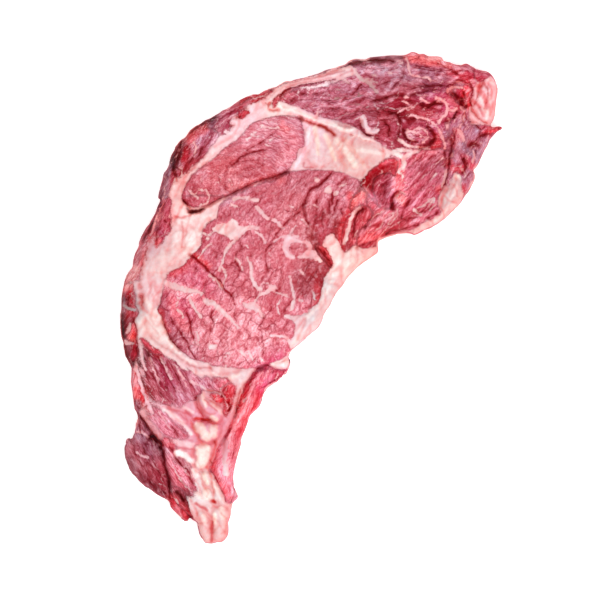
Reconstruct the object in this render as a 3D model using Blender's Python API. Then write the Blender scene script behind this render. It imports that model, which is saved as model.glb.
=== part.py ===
"""Raw ribeye steak, cut at the shoulder end, lying on its cut face.

Metres, +Z up. The origin is at the centre of the object's box on the plane that the steak rests on.
The plan of the steak is drawn on a sheet of SQUARE-sized squares, columns to +X and rows to -Y.
The body is a loft between an outer and an inner rail, from the tip of the tail to the broad end of the
cap muscle. Its upper face carries the muscles as low domes and the seams between them as grooves. The
side flap and the rib-finger strip are lofts of their own, joined to the body as one solid.
"""

import math

import bmesh
import bpy
import numpy as np
from mathutils import Vector

# ---- driving dimensions ----
SQUARE = 0.46e-3  # one square of the plan sheet
MID_COL, MID_ROW = 308.3, 298.9  # the squares at the middle of the object's box
THICK = 0.0265  # the cut's thickness at the eye muscle
WAIST_SHARE = 0.34  # height of the widest line of the side wall, as a share of the local thickness
FOOT_IN = 0.0034  # how far the resting face is set in from the widest line
WAVER = 0.9  # how far the rails waver from a fair curve, in squares
STATIONS = 98  # rings along the body
TOP_SEGMENTS, WALL_SEGMENTS, FOOT_SEGMENTS = 36, 3, 3

# Each row is one rib of the loft: outer rail column and row, inner rail column and row, thickness as a
# share of THICK, and how far the upper face is set in at the outer and at the inner rail, in squares.
RIBS = (
    # tail tip
    (207, 545, 219, 544, 0.30, 3, 3),
    (203, 541, 225, 539, 0.40, 5, 5),
    (199, 532, 229, 530, 0.47, 7, 6),
    (191, 514, 230, 511, 0.56, 9, 6),
    (172, 488, 226, 490, 0.64, 10, 6),
    (161, 462, 225, 466, 0.70, 9, 6),
    (150, 437, 229, 436, 0.76, 9, 7),
    (137, 412, 238, 408, 0.82, 10, 8),
    (131, 386, 250, 388, 0.87, 10, 8),
    (128, 362, 288, 366, 0.92, 12, 10),
    (120, 325, 295, 349, 0.97, 17, 13),
    (121, 293, 315, 328, 1.00, 17, 16),
    (132, 263, 332, 302, 1.00, 16, 16),
    (150, 222, 347, 281, 1.00, 15, 15),
    (161, 180, 360, 265, 1.00, 15, 13),
    (187, 134, 379, 250, 1.00, 12, 8),
    (233, 104, 398, 237, 1.00, 9, 8),
    (279, 84, 420, 234, 1.01, 8, 9),
    (328, 68, 445, 221, 1.03, 8, 11),
    (372, 57, 460, 205, 1.05, 8, 11),
    (408, 53, 471, 186, 1.05, 8, 10),
    (440, 57, 480, 164, 1.03, 9, 9),
    (466, 64, 489, 144, 0.98, 9, 9),
    (483, 70, 494, 124, 0.92, 8, 8),
    (492, 77, 497, 107, 0.84, 6, 6),
    (496, 84, 498, 97, 0.74, 3, 3),
)

# Muscles and fat pads that stand proud of the cut face (or lie under it): middle column and row, half
# length and half width in squares, turn of the long axis in degrees, rise in metres.
DOMES = {
    "eye": (260, 270, 112, 78, -52, 0.0022),
    "complexus": (245, 161, 68, 30, -36, 0.0030),
    "cap_upper": (352, 100, 92, 26, -6, 0.0020),
    "cap_outer": (456, 98, 50, 34, 44, 0.0026),
    "cap_lower": (424, 186, 58, 30, -50, 0.0022),
    "seam_fat": (342, 150, 48, 20, 16, -0.0014),
    "cap_cup": (379, 184, 26, 17, -56, -0.0060),
    "cap_swirl": (416, 134, 24, 20, 0, 0.0016),
    "tail_muscle": (178, 378, 52, 28, 30, 0.0016),
    "tail_fat_upper": (212, 404, 19, 14, 50, 0.0030),
    "tail_fat_middle": (206, 430, 19, 14, 10, 0.0026),
    "tail_fat_lower": (204, 455, 16, 16, 0, 0.0024),
    "tail_end_fat": (214, 524, 20, 15, 80, 0.0016),
}

# Seams between muscles: the squares a groove passes, its half width in squares, its depth in metres.
SEAMS = {
    "complexus_to_eye": (((184, 206), (197, 211), (216, 201), (243, 187), (268, 180), (290, 171)), 9, 0.0038),
    "cap_to_fat": (((270, 107), (300, 119), (322, 127), (346, 137), (378, 142), (398, 150)), 8, 0.0020),
    "cap_notch": (((262, 104), (276, 110)), 10, 0.0024),
    "eye_to_cap": (((364, 196), (357, 209), (352, 222), (354, 238)), 12, 0.0052),
    "eye_foot": (((164, 314), (178, 338), (204, 358), (238, 368), (262, 365), (284, 358)), 8, 0.0024),
    "eye_side": (((330, 240), (326, 258), (318, 284), (300, 312), (288, 336)), 8, 0.0014),
    "strip_root": (((262, 372), (244, 386), (236, 408), (226, 432), (214, 448), (209, 468), (216, 486), (226, 504)), 8, 0.0036),
    "cap_bundle": (((388, 99), (414, 93), (444, 92), (462, 102)), 8, 0.0018),
    "cap_edge": (((452, 128), (447, 154), (448, 176), (440, 192)), 8, 0.0016),
    "tail_seam": (((168, 446), (186, 452), (200, 478), (208, 500), (212, 532)), 7, 0.0016),
}

# The side flap, a leaf of outer muscle that hangs lower than the cut face: ribs as above, without the
# share, with its own thickness in metres.
FLAP_RIBS = (
    (137, 420, 156, 424, 0.0082),
    (134, 431, 164, 434, 0.0098),
    (129, 441, 170, 446, 0.0106),
    (125, 452, 174, 460, 0.0108),
    (127, 464, 178, 476, 0.0106),
    (135, 478, 184, 492, 0.0100),
    (150, 491, 190, 506, 0.0092),
    (167, 503, 196, 516, 0.0080),
    (182, 518, 199, 521, 0.0060),
)

# The rib-finger strip along the tail's inner side: column, row, height of its middle, half width and
# half height in metres.
STRIP = (
    (281, 371, 0.0150, 0.0024, 0.0036),
    (268, 376, 0.0154, 0.0052, 0.0060),
    (254, 386, 0.0150, 0.0060, 0.0070),
    (245, 402, 0.0140, 0.0056, 0.0070),
    (238, 424, 0.0126, 0.0056, 0.0068),
    (230, 448, 0.0112, 0.0054, 0.0062),
    (225, 472, 0.0096, 0.0050, 0.0056),
    (227, 490, 0.0082, 0.0048, 0.0048),
    (229, 502, 0.0070, 0.0034, 0.0038),
    (230, 509, 0.0060, 0.0014, 0.0018),
)


def plan(col, row):
    """Squares of the sheet to metres."""
    return (col - MID_COL) * SQUARE, (MID_ROW - row) * SQUARE


def smooth_rows(rows, count):
    """count rows read at even steps from a Catmull-Rom curve through all columns of the rows."""
    p = np.array(rows, float)
    p = np.vstack([2 * p[0] - p[1], p, 2 * p[-1] - p[-2]])
    out = []
    for u in np.linspace(0, len(rows) - 1, count):
        i = min(int(u), len(rows) - 2)
        t = u - i
        a, b, c, d = p[i : i + 4]
        out.append(
            0.5
            * (
                2 * b
                + (c - a) * t
                + (2 * a - 5 * b + 4 * c - d) * t * t
                + (3 * b - a - 3 * c + d) * t**3
            )
        )
    return np.array(out)


def even_rows(rows, count, of):
    """smooth_rows spaced evenly along the middle line, which of() gives from a row."""
    fine = smooth_rows(rows, 900)
    mid = np.array([of(r) for r in fine])
    along = np.concatenate([[0], np.cumsum(np.linalg.norm(np.diff(mid, axis=0), axis=1))])
    u = np.linspace(0, along[-1], count)
    return np.stack([np.interp(u, along, fine[:, k]) for k in range(fine.shape[1])], 1)


def dome_rise(col, row):
    """Rise of the upper face over the flat cut at a point of the plan."""
    total = 0.0
    for c, r, half_l, half_w, turn, rise in DOMES.values():
        a = math.radians(turn)
        dx, dy = col - c, r - row
        along = (dx * math.cos(a) + dy * math.sin(a)) / half_l
        across = (-dx * math.sin(a) + dy * math.cos(a)) / half_w
        d = along * along + across * across
        if d < 1:
            total += rise * (1 - d * d) ** 1.2
    return total


def to_path(col, row, points):
    """Shortest distance, in squares, from a point of the plan to a run of straight pieces."""
    best = 1e9
    for (c0, r0), (c1, r1) in zip(points, points[1:]):
        dc, dr = c1 - c0, r1 - r0
        t = max(0.0, min(1.0, ((col - c0) * dc + (row - r0) * dr) / (dc * dc + dr * dr)))
        best = min(best, math.hypot(col - c0 - t * dc, row - r0 - t * dr))
    return best


def seam_drop(col, row):
    """How deep the seams cut the upper face there."""
    drop = 0.0
    for points, half, depth in SEAMS.values():
        d = to_path(col, row, points) / half
        if d < 1:
            drop = max(drop, depth * (1 + math.cos(math.pi * d)) / 2)
    return drop


def waver(rib, station):
    """The rib with both rails moved along it by slow uneven waves, as hand-cut meat has."""
    rib = np.array(rib, float)
    across = rib[2:4] - rib[0:2]
    width = float(np.linalg.norm(across))
    if width < 40:
        return rib
    u = across / width
    rib[0:2] += u * WAVER * (math.sin(station * 0.83) + 0.6 * math.sin(station * 1.57 + 1.1))
    rib[2:4] += u * WAVER * (math.sin(station * 0.71 + 2.0) + 0.6 * math.sin(station * 1.43))
    return rib


def body_ring(rib):
    """One closed cross-section of the body, from the outer wall over the top to the inner wall and back
    along the foot, as a list of points."""
    outer, inner = np.array(rib[0:2]), np.array(rib[2:4])
    thick, set_outer, set_inner = rib[4] * THICK, rib[5], rib[6]
    across = inner - outer
    width = float(np.linalg.norm(across))
    u = across / max(width, 1e-6)
    # The set-in and the foot shrink on the narrow ribs near the ends.
    room = width * 0.42
    a, b = min(set_outer, room), min(set_inner, room)
    foot = min(FOOT_IN / SQUARE, width * 0.3)
    waist = thick * WAIST_SHARE
    points = []

    def add(distance, z):
        col, row = outer + u * distance
        points.append((*plan(col, row), z))

    # outer wall, up from the foot to the widest line and in over the shoulder
    for i in range(WALL_SEGMENTS):
        t = (i + 1) / WALL_SEGMENTS
        add(foot * (1 - math.sin(t * math.pi / 2)), waist * (1 - math.cos(t * math.pi / 2)))
    for i in range(TOP_SEGMENTS + 1):
        t = i / TOP_SEGMENTS
        # the steps are closer at both shoulders
        s = t - 0.10 * math.sin(2 * math.pi * t) / (2 * math.pi) * 2
        d = width * s
        if i == 0:
            continue
        if i == TOP_SEGMENTS:
            continue
        edge = min(d / max(a, 1e-6), 1.0)
        far = min((width - d) / max(b, 1e-6), 1.0)
        shoulder = (1 - (1 - edge) ** 2.2) ** 0.55 * (1 - (1 - far) ** 2.2) ** 0.55
        col, row = outer + u * d
        z = waist + (thick - waist) * shoulder
        z += (dome_rise(col, row) - seam_drop(col, row)) * min(edge, far) * min(1.0, thick / THICK + 0.15)
        add(d, z)
    for i in range(WALL_SEGMENTS):
        t = 1 - i / WALL_SEGMENTS
        add(width - foot * (1 - math.sin(t * math.pi / 2)), waist * (1 - math.cos(t * math.pi / 2)))
    for i in range(FOOT_SEGMENTS + 1):
        t = i / FOOT_SEGMENTS
        add(width - foot - (width - 2 * foot) * t, 0.0)
    return points


def flap_ring(rib):
    """A flat oval cross-section with its underside on the resting plane."""
    outer, inner = np.array(rib[0:2]), np.array(rib[2:4])
    thick = rib[4]
    points = []
    for i in range(14):
        a = math.pi - 2 * math.pi * i / 14
        s = (1 + math.copysign(abs(math.cos(a)) ** 0.8, math.cos(a))) / 2
        h = math.copysign(abs(math.sin(a)) ** 0.7, math.sin(a))
        col, row = outer + (inner - outer) * s
        z = 0.0004 + thick * (0.5 + 0.5 * h)
        points.append((*plan(col, row), z))
    return points


def strip_rings(rows):
    """Oval cross-sections square to the strip's run."""
    mid = np.array([(*plan(r[0], r[1]), r[2]) for r in rows])
    run = np.gradient(mid, axis=0)
    rings = []
    for (x, y, z), d, r in zip(mid, run, rows):
        side = Vector((d[1], -d[0], 0)).normalized()
        ring = []
        for i in range(12):
            a = 2 * math.pi * i / 12
            p = Vector((x, y, z)) + side * (math.cos(a) * r[3]) + Vector((0, 0, math.sin(a) * r[4]))
            ring.append(tuple(p))
        rings.append(ring)
    return rings


def loft(name, rings):
    """A closed solid through rings of equally many points, with a fan at each end. Each square is cut
    along the diagonal whose ends are nearer in height, so that the grooves and rims run smooth."""
    mesh = bpy.data.meshes.new(name)
    bm = bmesh.new()
    loops = [[bm.verts.new(p) for p in ring] for ring in rings]
    for lower, upper in zip(loops, loops[1:]):
        for i in range(len(lower)):
            k = (i + 1) % len(lower)
            a, b, c, d = lower[i], lower[k], upper[k], upper[i]
            if abs(a.co.z - c.co.z) <= abs(b.co.z - d.co.z):
                bm.faces.new((a, b, c))
                bm.faces.new((a, c, d))
            else:
                bm.faces.new((a, b, d))
                bm.faces.new((b, c, d))
    for loop in (loops[0], loops[-1]):
        hub = bm.verts.new(sum((v.co for v in loop), Vector()) / len(loop))
        for i in range(len(loop)):
            bm.faces.new((loop[i], loop[(i + 1) % len(loop)], hub))
    bmesh.ops.recalc_face_normals(bm, faces=bm.faces)
    if bm.calc_volume(signed=True) < 0:
        bmesh.ops.reverse_faces(bm, faces=bm.faces)
    bm.to_mesh(mesh)
    bm.free()
    mesh.shade_smooth()
    obj = bpy.data.objects.new(name, mesh)
    bpy.context.scene.collection.objects.link(obj)
    return obj


def material(name, colour, roughness):
    made = bpy.data.materials.new(name)
    made.use_nodes = True
    shader = made.node_tree.nodes["Principled BSDF"]
    shader.inputs["Base Color"].default_value = (*colour, 1)
    shader.inputs["Roughness"].default_value = roughness
    shader.inputs["Metallic"].default_value = 0.0
    return made


def main():
    for obj in list(bpy.data.objects):
        bpy.data.objects.remove(obj)

    def middle(rib):
        return (rib[0:2] + rib[2:4]) / 2

    ribs = [waver(r, i) for i, r in enumerate(even_rows(RIBS, STATIONS, middle))]
    body = loft("ribeye_steak", [body_ring(r) for r in ribs])
    flap = loft("flap_piece", [flap_ring(r) for r in even_rows(FLAP_RIBS, 15, middle)])
    strip = loft("strip_piece", strip_rings(even_rows(STRIP, 20, lambda r: r[0:2])))
    for piece in (flap, strip):
        piece.hide_render = True
        piece.display_type = "WIRE"
        join = body.modifiers.new("join_" + piece.name, "BOOLEAN")
        join.operation = "UNION"
        join.object = piece
    body.data.materials.append(material("raw_beef", (0.50, 0.09, 0.10), 0.42))


main()
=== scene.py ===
import math

import bpy
import numpy as np
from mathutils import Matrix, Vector
from mathutils.geometry import delaunay_2d_cdt


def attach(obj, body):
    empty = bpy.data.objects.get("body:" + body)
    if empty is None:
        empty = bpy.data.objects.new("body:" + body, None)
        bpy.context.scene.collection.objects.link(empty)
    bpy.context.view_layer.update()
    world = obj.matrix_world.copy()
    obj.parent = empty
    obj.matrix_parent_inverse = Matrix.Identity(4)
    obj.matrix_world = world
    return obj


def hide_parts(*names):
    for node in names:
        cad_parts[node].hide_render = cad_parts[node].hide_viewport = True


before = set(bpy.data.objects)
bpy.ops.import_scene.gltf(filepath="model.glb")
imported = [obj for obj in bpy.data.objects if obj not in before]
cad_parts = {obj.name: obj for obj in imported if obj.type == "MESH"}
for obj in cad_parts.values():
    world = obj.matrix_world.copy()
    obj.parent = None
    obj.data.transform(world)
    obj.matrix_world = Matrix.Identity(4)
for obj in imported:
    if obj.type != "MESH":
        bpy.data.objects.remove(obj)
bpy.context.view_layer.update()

# The steak is drawn on the same plan sheet as the CAD part: squares of SQUARE metres, columns to +X and rows to -Y.
SQUARE = 0.46e-3
MID_COL, MID_ROW = 308.3, 298.9
FINE = 2  # samples to a square of the fields below
C0, R0, C1, R1 = 104, 36, 518, 560
TOP_STEP = 1.23  # spacing of the points of the cut face, in squares
FOOT_STEP = 3.8
RING_STEP = 1.14
FOOT_IN = 7.2


def plan(col, row):
    return (col - MID_COL) * SQUARE, (MID_ROW - row) * SQUARE


def P(text):
    return np.array([[float(v) for v in pair.split(",")] for pair in text.split()])


# ------------------------------------------------------------------ the outline and the parts of the plan
OUTLINE = """230,106.5 222,111 215,115 210,118 205,120 200,123.5 195,126 190,130 187,134 185,137 181,139.5 177,144 174,150
171,155 169.5,160 168.5,165 166,170 163.5,173 162,180 160,187 158.5,193 158,198 160,200 157,207 155,213 151,220 149,224
144,232 140,240 138,247 135,253 133,260 132,267 130,270 127,275 124.5,280 123,287 122,292 121,300 121,308 120,320 121,335
123,342 124,350 125,356 128,361 131,366 131,375 131,385 132,392 133,400 134,407 136,411 138,416 137,420 135,428 133,438
130,440 127.5,438.5 126,442 124.5,448 125,455 126,460 128,465 131,473 135,477 139,482 144,486 150,490 155,494 160,497
166,500 169,503 170,507 173,511 178,516 183,520 186,522 188,521 189,518.5 193,521 197,523 198,527 199,533 202,539 205,543
211,544.5 217,543 221,543 225,540 228,535 228.5,528 228,522 230,518 231,512 231,506 233,503 236,500 237.5,496.5 236,493
234,489 233,480 234,470 235,463 237,455 240,445 242,437 245,430 248,422 250,416 254,412 258,408 261,401 264,393 266,389
270,386 276,382 281,378 283,374 285,375 288,370 290,364 290,360 288,357 290,353 294,348 300,343 306,338 312,333 318,328
322,321 324,315 328,308 332,301 336,294 341,287 346,280 350,275 355,270 360,265 372,257 378,252 378,245 379,241 385,238
395,235 400,233 410,233 415,235 424,230 432,227 440,222 446,218 452,212 460,204 464,198 468,192 471,186 474,180 475,174
474,170 478,165 484,152 488,145 490,140 495,134 498,131 502,129 502,126.5 498,126 493,127 491,125 493,120 495,112 496,100
497.5,90 496,83 494,78 490,73 485,71 478,69.5 474,67 469,64.5 466,63.5 462,65 455,64 450,62 444,60.5 442,57 438,56 431,56
428,56 424,53.5 419,54 417,52.5 412,51.5 409,53 405,55 400,55 390,55 380,56 370,57 365,59 357,58.5 350,60 345,64 340,65.5
335,67.5 330,68.5 325,70 320,72.5 315,74 310,75.5 305,77 300,78.5 295,79.5 291,81 286,81 283,82 280,84 275,87 270,88
266,90 263,92 259,94 254,94 250,95 245,97 240,99.5 235,103"""

# The flap hangs outside this line of the body, and the rib-finger strip lies inside the other.
FLAP = """139,410 138,416 137,420 135,428 133,438 130,440 127.5,438.5 126,442 124.5,448 125,455 126,460 128,465 131,473
135,477 139,482 144,486 150,490 155,494 160,497 166,500 169,503 170,507 173,511 178,516 183,520 186,522 188,521 189,518.5
196,512 200,500 194,486 186,474 180,460 176,446 166,432 154,420"""
BODY_CUT = "126,404 136,411 145,422 150,430 155,437 161,447 164,459 166,469 169,480 171,492 176,503 187,514 191,519.5 186,527 165,520 120,500 105,450"
STRIP = """291,356 288,366 284,369 276,368 268,366 260,368 254,372 249,379 245,385 242,393 239,401 236,408 234,415 232,421 229,427 225,434 221,442 217,449
215,456 212,462 209,467 209,472 213,474 216,480 219,486 223,494 226,501 230,506 233,503 236,500 237.5,496.5 236,493
234,489 233,480 234,470 235,463 237,455 240,445 242,437 245,430 248,422 250,416 254,412 258,408 261,401 264,393 266,389
270,386 276,382 281,378 283,374 285,375 288,370 290,364"""

# Thickness of the cut and how far its shoulder is set in: column, row, mm, squares.
BULK = (
    (214, 538, 8.6, 4), (212, 520, 13.2, 6), (208, 496, 15.4, 7), (196, 470, 17.4, 8), (188, 437, 20.0, 9),
    (150, 400, 21.6, 8), (190, 390, 23.0, 10), (236, 400, 21.5, 8), (270, 368, 22.5, 7), (210, 350, 25.4, 12),
    (124, 340, 24.6, 14), (122, 300, 25.6, 15), (132, 262, 26.0, 15), (150, 225, 26.2, 13), (240, 280, 26.5, 14),
    (300, 340, 25.0, 9), (335, 290, 25.6, 10), (365, 255, 26.0, 9), (160, 185, 26.4, 12), (180, 140, 26.4, 10),
    (220, 112, 26.6, 9), (265, 90, 26.8, 7), (320, 72, 27.2, 7), (380, 57, 27.8, 7), (430, 56, 27.6, 8),
    (470, 66, 26.0, 8), (495, 85, 22.4, 8), (490, 130, 23.4, 7), (475, 180, 26.6, 8), (440, 222, 27.4, 9),
    (390, 236, 27.2, 7), (300, 160, 26.4, 10), (400, 140, 27.6, 10), (350, 200, 26.5, 10),
)
FLAP_BULK = ((146, 418, 8.6), (148, 438, 10.2), (146, 456, 10.8), (158, 480, 10.2), (176, 504, 8.8), (188, 519, 6.4))
STRIP_BULK = (
    (288, 362, 16.0, 3.6), (275, 374, 15.4, 6.0), (258, 384, 15.2, 7.0), (245, 404, 14.2, 7.0), (238, 426, 12.8, 6.8),
    (230, 450, 11.4, 6.2), (224, 474, 9.8, 5.6), (227, 492, 8.2, 4.6), (232, 502, 7.0, 3.2),
)

# ------------------------------------------------------------------ muscles (the rest of the face is fat)
# name: outline, run of the fibres in degrees above +X, how much longer than wide the grain is, rise in mm, roll in squares
LEAN = {
    "eye": ("""290,172 300,171 312,170 330,171 340,173 350,176 358,181 364,190 366,198 365,205 355,211 349,220 345,230
342,250 336,240 333,233 326,237 322,245 316,247 320,257 330,268 327,275 324,280 322,288 320,300 312,308 303,315 297,316.5
291,315 291,319 295,325 294,335 291,340 290,347 291,351 283,358 270,363 257,368 250,368 240,368.5 230,367.5 220,366.5
212,365 205,362 196,360 190,358 185,354 180,349 175,345 171,340 168,334 165,327 163,320 158,310 160,305 162,295 164,288
165,281 167,276 168,272 174,270 180,268 186,263 190,257 197,250 201,245 202,238 203,231 206,226 210,222 217,218 219,207
226,200.5 236,195.5 246,190.2 256,185.7 268,181.7 278,179 285,175.2""", 60, 1.6, 1.9, 13),
    "complexus": ("""301,120 303,128 305,140 304,147 298,150 297,157 292,165 288,170 278,177 268,179 255,183 245,188
235,193 222,198 215,202 205,206 195,208 188,206 184,203 182,198 184,190 187,184 190,178 196,172 205,165 212,160 217,156
221,151 228,146 238,139 245,132 250,125 258,121 266,119 275,117 285,116 295,116.5""", 0, 2.2, 1.8, 12),
    "cap_upper": ("""272,100 278,95 283,91 290,88 300,88 310,89 318,89 325,87 332,85 338,82 344,79 352,76 357,73 352,66 345,66
335,70 325,72 318,74.5 330,70 340,66 350,61 357,59 365,59 380,56 390,55 402,55 408,53 412,51.5 419,53.5 428,56 440,56 444,60.5
455,64 462,65 469,64.5 474,67 478,74 476,84 470,88 464,87 452,88 449,92 452,97 458,104 462,108 457,113 450,122 444,124
446,131 450,140 451,150 445,152 436,148 425,151 412,149 398,148 392,152 384,147 376,141 366,136 358,130 350,125 340,122
333,120 322,117 314,115.5 308,112 303,109 297,107 290,105 284,103 278,101""", 6, 2.3, 1.0, 8),
    "cap_lower": ("""396,152 402,152 410,150 420,149 432,149 442,150 450,152 450,160 448,170 447,178 444,187 440,194 438,203
440,212 436,218 425,222 415,228 404,231 395,233 385,237 379,241 378,246 366,249 357,246 354,240 353,230 357,218 362,210
366,205 367,198 364,190 361,184 364,178 370,170 376,166 381,162 388,158""", 47, 4.0, 1.0, 8),
    "end_lean": ("""452,88 462,86 470,88 474,92 471,100 472,110 468,112 471,122 478,126 482,124 491,126 498,126 502,127 502,129
498,131 495,134 490,140 488,145 484,152 478,165 474,170 475,174 474,180 471,186 468,192 464,198 462,193 461,184 459,176 455,173
452,180 448,187 446,182 448,172 450,160 452,150 452,140 449,130 450,122 457,113 462,109 458,103""", 62, 3.0, 0.8, 5),
    "end_top": ("474,67 478,69.5 485,71 490,75 486,80 480,82 476,80 473,74", 10, 3.0, 0.3, 4),
    "rind_top": ("268,90 276,85 290,79 304,75 314,71 324,67 336,62 348,58 358,56 358,63 349,66 341,69.3 332,71.8 322,74.5 314,75.8 304,78.2 292,81.8 280,85.8 271,89.5", 20, 3.5, 0.0, 3),
    "trim_top": ("203,122 212,116 222,110 232,105 240,101 248,98 256,95.5 263,93 270,89.5 273,91.5 267,96 259,100.5 251,103.5 245,107.5 241,112 236,116 232,120 230,127 225,133 219,134 214,129 208,127", 35, 3.4, 0.7, 7),
    "trim_mid": ("""188,134 196,128 203,124.5 209,127 214,131 219,134 219,139 214,145 208,151 203,157 198,162 192,166.5 189,171 183,176 178,178
175,173 176,165 179,160 181,152 183,144 185,139""", 60, 3.4, 0.9, 8),
    "trim_low": ("""168,196 171,200 171.5,205 171,212 172.5,218 171.5,225 173,229 169,234 165,238 163,244 160,244 157,249
155,240 156,232 159,225 161,218 163,210 164.5,204""", 66, 3.2, 1.0, 4),
    "trim_link": ("239,111 249,111 248,115 242,120 238,117", 50, 3.0, 0.3, 2),
    "top_edge": ("239,100 246,96 254,93.5 263,91 271,87.5 268,92 262,96 252,99 245,101 241,105", 20, 3.5, 0.0, 3),
    "notch_band": ("274,109 272,104 275,99 280,96 285,93 292,89 300,86 307,84 318,82 329,80 336,79 329,83 318,85.5 306,87.5 292,91 285,96 279,101 277,107", 25, 3.5, 0.0, 3),
    "tail_muscle": ("""141,349 148,348 156,351 164,354 169,357 173,360 179,365 186,369 193,373 201,376 209,376 215,378
221,377.5 227,379 231,383 234,388 235,396 232,403 230,411 226,415 223,408 222,400 219,395 214,394 209,391 205,389 202,393
198,397 193,401 187,403 180,407 172,405 160,403 153,401 149,395 146,385 143,372 140,361""", -58, 4.6, 1.0, 9),
    "tail_second": ("""143,400 149,403 156,408 164,413 171,418 178,424 184,430 187,436 183,440 176,440 169,438 162,434 156,430
151,422 146,413""", -50, 4.0, 0.6, 7),
    "tail_low": ("""160,440 167,437 173,441 176,447 181,453 186,459 191,466 194,474 194,482 196,489 193,496 188,495 181,492
174,487 169,482 166,474 164,465 162,455""", -56, 4.0, 0.5, 6),
    "flap_red": ("166,487 172,486 179,488 184,492 187,498 189,505 191,513 192,520 186,520 179,513 172,505 168,497", -56, 3.4, 0.4, 3),
    "tail_red": ("224,386 230,383 236,388 235,395 233,402 230,410 227,414 225,405 222,398 221,392", 80, 3.0, 0.5, 3),
    "tail_link": ("214,392 221,394 224,400 221,404 215,401 210,396", 30, 3.0, 0.3, 2),
    "tail_edge": ("131,366 136,362 140,372 143,385 146,397 147,405 143,409 138,412 134,407 132,396 131,380", 85, 3.4, 0.6, 4),
    "wall_low": ("""134,284 128,283 123,286 120,296 118,320 119,336 122,350 125,360 133,364 138,352 138.5,344 138,337 138,331
135,322 137,318 139.5,312 136,306 136,296 134,290""", 70, 3.4, 0.4, 4),
    "wall_gash": ("141,338 146,339 152,345 158,349 163,354 155,354 150,350 145,346", -40, 3.0, 0.2, 2),
    "wall_mid": ("""149,222 155,220 156,224 155,232 151,240 147,248 145,256 143,263 141,271 140,280 133,281 126,284 122,288
128,272 131,262 134,252 139,240""", 66, 3.4, 0.3, 4),
    "wall_top": ("""230,106 220,112 212,118 204,127 197,131 191,136 187,139.5 183,146 181.5,153 180,160 177,166 174.5,172
175,180 171,188 168,196 165,205 160,212 156,220 150,222 154,212 157,206 157,197 160,185 162,177 167,168 168,160 173,150
178,142 186,134 196,125 206,119 218,112""", 62, 3.4, 0.0, 3),
    "flap": (FLAP, -62, 3.6, 0.6, 5),
    "strip": (STRIP, 68, 4.0, 0.0, 4),
    "patella": ("349,206 352,198 357,192 363,191 366,197 366,205 360,210 352,212", 40, 2.0, 0.9, 4),
    "between": ("366,206 372,214 366,224 358,232 356,242 350,250 344,252 341,240 344,228 349,216 355,208", 75, 3.0, 0.0, 3),
    "pit": ("315,247 318,244 323,247 328,249 330,256 334,264 330,268 326,262 321,258 317,252", -50, 3.0, 0.0, 2),
}

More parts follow.
